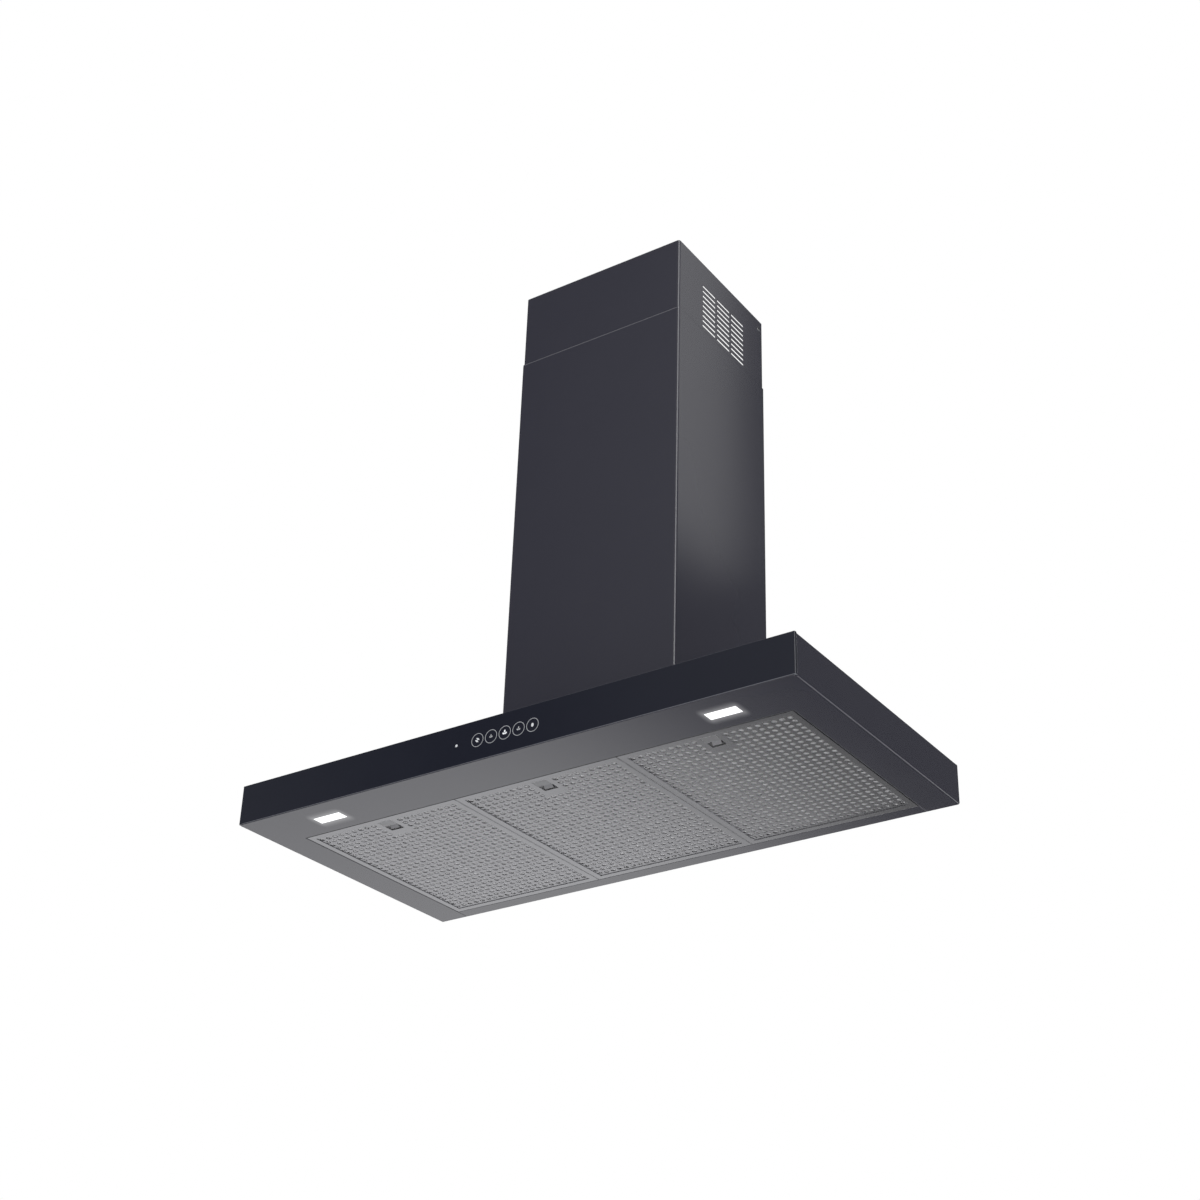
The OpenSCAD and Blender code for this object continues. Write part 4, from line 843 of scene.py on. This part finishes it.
def latch_spring(side):
    points = spring_path(*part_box(side + "_latch_spring"), WIRE)
    clear_selection()
    bpy.ops.curve.primitive_nurbs_path_add()
    path = bpy.context.object
    path.data.splines.clear()
    line = path.data.splines.new("POLY")
    line.points.add(len(points) - 1)
    for point, place in zip(line.points, points):
        point.co = (*place, 1)
    path.data.bevel_depth = WIRE
    path.data.bevel_resolution = 2
    path.data.use_fill_caps = True
    bpy.ops.object.convert(target="MESH")
    return bpy.context.object

# %% [markdown]
# The springs are alike, so the left one is modelled and copied to the other two latches. A spring
# rides on its filter.
# %% Latch springs
starts = [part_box(side + "_latch_spring")[0] for side in SIDES]
springs = [latch_spring(SIDES[0])]
for start in starts[1:]:
    springs.append(copy_piece(springs[0], start - starts[0]))
for side, spring in zip(SIDES, springs):
    finish_piece(spring, side + "_round_spring", spring_steel, side + "_filter",
                 [side + "_latch_spring"])
    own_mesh(spring)

# %% [markdown]
# ## Floor
# The hood hangs on a wall, so the floor is far below it and only has to be there: a large pale
# sheet, with a border that Inset draws. To the camera it is almost white, and it keeps the hood's
# soft shadow. Mirror-like rays pass through it to the room's light, so that it doesn't stop short in
# the glass.
# %% Floor
FLOOR_Z = -3.3
FLOOR_SIZE = 24
FLOOR_BORDER = 0.5
clear_selection()
bpy.ops.mesh.primitive_plane_add(size=FLOOR_SIZE, location=(0, 0, FLOOR_Z))
floor = bpy.context.object
floor.name = "floor"
bpy.ops.object.mode_set(mode="EDIT")
bpy.ops.mesh.select_all(action="SELECT")
bpy.ops.mesh.inset(thickness=FLOOR_BORDER)
bpy.ops.object.mode_set(mode="OBJECT")
floor_paint = bpy.data.materials.new("floor")
floor_paint.use_nodes = True
tree = floor_paint.node_tree
tree.nodes.clear()
matt = add_node(tree, "ShaderNodeBsdfDiffuse", Color=(0.86, 0.86, 0.86, 1))
lift = add_node(tree, "ShaderNodeEmission", Color=(1, 1, 1, 1), Strength=0.3)
both = add_node(tree, "ShaderNodeAddShader")
clear = add_node(tree, "ShaderNodeBsdfTransparent")
rays = add_node(tree, "ShaderNodeLightPath")
seen = add_node(tree, "ShaderNodeMixShader")
passed = add_node(tree, "ShaderNodeMixShader")
end = add_node(tree, "ShaderNodeOutputMaterial")
join(tree, matt.outputs[0], both.inputs[0])
join(tree, lift.outputs[0], both.inputs[1])
join(tree, rays.outputs["Is Camera Ray"], seen.inputs[0])
join(tree, matt.outputs[0], seen.inputs[1])
join(tree, both.outputs[0], seen.inputs[2])
join(tree, rays.outputs["Is Glossy Ray"], passed.inputs[0])
join(tree, seen.outputs[0], passed.inputs[1])
join(tree, clear.outputs[0], passed.inputs[2])
join(tree, passed.outputs[0], end.inputs["Surface"])
floor.data.materials.append(floor_paint)
print("floor at", FLOOR_Z, "m")

# %% [markdown]
# ## Studio
# Black paint shows little but what it mirrors, so the room is drawn as a sky of soft patches that
# only mirror-like rays see. The camera sees plain white, and diffuse rays an even pale room. A patch
# is made from the angle between the ray's direction and the patch's own: Map Range fades it out.
# %% Sky helpers
world = bpy.data.worlds.new("studio")
bpy.context.scene.world = world
world.use_nodes = True
tree = world.node_tree
tree.nodes.clear()
direction = add_node(tree, "ShaderNodeTexCoord")


def nearness(towards):
    made = add_node(tree, "ShaderNodeVectorMath", operation="DOT_PRODUCT")
    made.inputs[1].default_value = Vector(towards).normalized()
    join(tree, direction.outputs["Generated"], made.inputs[0])
    return made.outputs["Value"]


def patch(towards, inner, outer, strength):
    return fade(tree, nearness(towards), cos(radians(outer)), cos(radians(inner)), 0.0, strength)

# %% [markdown]
# One long pale sheet of light lies low on the left. Its edge runs from front to rear, so the
# underside gets darker from left to right and hardly from front to rear. It is cut off below the
# horizon, and it dims towards there, so that the underside isn't pale in views from low down.
# %% Pale sheet in the sky
SHEET_TOWARDS = (-0.704, 0.0, 0.71)
SHEET_START = (0.0, 0.095, 0.0, 1.0)
leftness = nearness(SHEET_TOWARDS)
height = nearness((0, 0, 1))
SHEET_FADES = [
    (leftness, 0.12, 0.2, 1.05, 0.85, "SMOOTHSTEP"),
    (height, -0.43, -0.36, 0.92, 1.16, "LINEAR"),
    (height, -0.33, -0.15, 1.1, 0.35, "SMOOTHSTEP"),
    (height, -0.1, -0.02, 1.0, 0.0, "SMOOTHSTEP"),
]
total = fade(tree, leftness, *SHEET_START)
for value, *numbers in SHEET_FADES:
    total = calculate(tree, "MULTIPLY", total, fade(tree, value, *numbers))
print("fades on the sheet:", len(SHEET_FADES))

# %% [markdown]
# The other patches each light one thing. A row gives the direction, the angles in degrees at which
# the patch starts and ends to fade, and its strength. The first six put light lines on the bends and
# a faint sheen on the glass, the chimney's front and the right side. The rest light what is seen from
# above, from behind, from straight below and in the filters when they hang open.
# %% Patches
DIMMEST = 0.02
PATCHES = [
    ((0.42, 0.81, -0.4), 8, 14, 2.4),
    ((-0.48, -0.44, -0.75), 8, 16, 0.7),
    ((0.7, -0.45, 0.55), 10, 30, 4.5),
    ((-0.2, -0.85, 0.47), 12, 24, 0.35),
    ((0.4, 0.8, 0.43), 4, 10, 0.08),
    ((-0.82, -0.48, 0.29), 10, 22, 0.25),
    ((0, 0, 1), 15, 48, 1.2),
    ((-0.3, 0.95, 0.2), 12, 34, 0.9),
    ((0.1, 0.25, -1), 14, 42, 0.8),
    ((0.75, 0.5, -0.45), 15, 38, 0.6),
    ((-0.2, -0.85, -0.5), 15, 40, 0.5),
]
for one in PATCHES:
    total = calculate(tree, "ADD", total, patch(*one))
total = calculate(tree, "ADD", total, DIMMEST)
print("sky patches:", len(PATCHES))

# %% [markdown]
# Light Path tells the kinds of rays apart: a ray from the camera gets white, a mirror-like ray the
# patches, and every other ray the even room.
# %% Sky
ROOM = 0.95
rays = add_node(tree, "ShaderNodeLightPath")
room = add_node(tree, "ShaderNodeMix", data_type="FLOAT")
room.inputs["A"].default_value = ROOM
pick = add_node(tree, "ShaderNodeMix", data_type="FLOAT")
pick.inputs["B"].default_value = 1.0
sky = add_node(tree, "ShaderNodeBackground", Color=(1, 1, 1, 1))
end = add_node(tree, "ShaderNodeOutputWorld")
join(tree, rays.outputs["Is Glossy Ray"], room.inputs["Factor"])
join(tree, total, room.inputs["B"])
join(tree, rays.outputs["Is Camera Ray"], pick.inputs["Factor"])
join(tree, room.outputs["Result"], pick.inputs["A"])
join(tree, pick.outputs["Result"], sky.inputs["Strength"])
join(tree, sky.outputs[0], end.inputs["Surface"])
print("sky nodes:", len(tree.nodes))

# %% [markdown]
# Two large soft lamps light what isn't shiny, and mirror-like rays don't see them. The third is the
# other way round: an upright panel about a metre to the right of the chimney, high and behind it,
# seen only by mirror-like rays. The front of the chimney's right side mirrors it and the rear looks
# past it, so that side gets darker towards the wall.
# %% Lamps
def add_lamp(name, place, aim, size, power, glossy=False):
    clear_selection()
    turned = (Vector(aim) - Vector(place)).to_track_quat("-Z", "Y").to_euler()
    bpy.ops.object.light_add(type="AREA", location=place, rotation=turned)
    lamp = bpy.context.object
    lamp.name = name
    lamp.data.shape = "RECTANGLE"
    lamp.data.size, lamp.data.size_y = size
    lamp.data.energy = power
    lamp.visible_camera = False
    lamp.visible_glossy = glossy
    lamp.visible_diffuse = not glossy
    print("lamp:", name, power, "W")


add_lamp("front_lamp", (-1.6, -3.2, 1.6), aim=(0, -0.2, 0.4), size=(2.5, 2.5), power=6)
add_lamp("low_lamp", (-0.8, -0.8, -2.4), aim=(0, -0.2, 0), size=(2.5, 2.5), power=4)
add_lamp("chimney_panel", (1.15, 1.03, 2.19), aim=(0, 1.03, 2.19), size=(1.1, 1.42), power=4.2, glossy=True)
bpy.context.scene.view_settings.view_transform = "Standard"

# %% [markdown]
# ## Last step
# The last cell leaves nothing selected.
# %% Leave nothing selected
clear_selection()
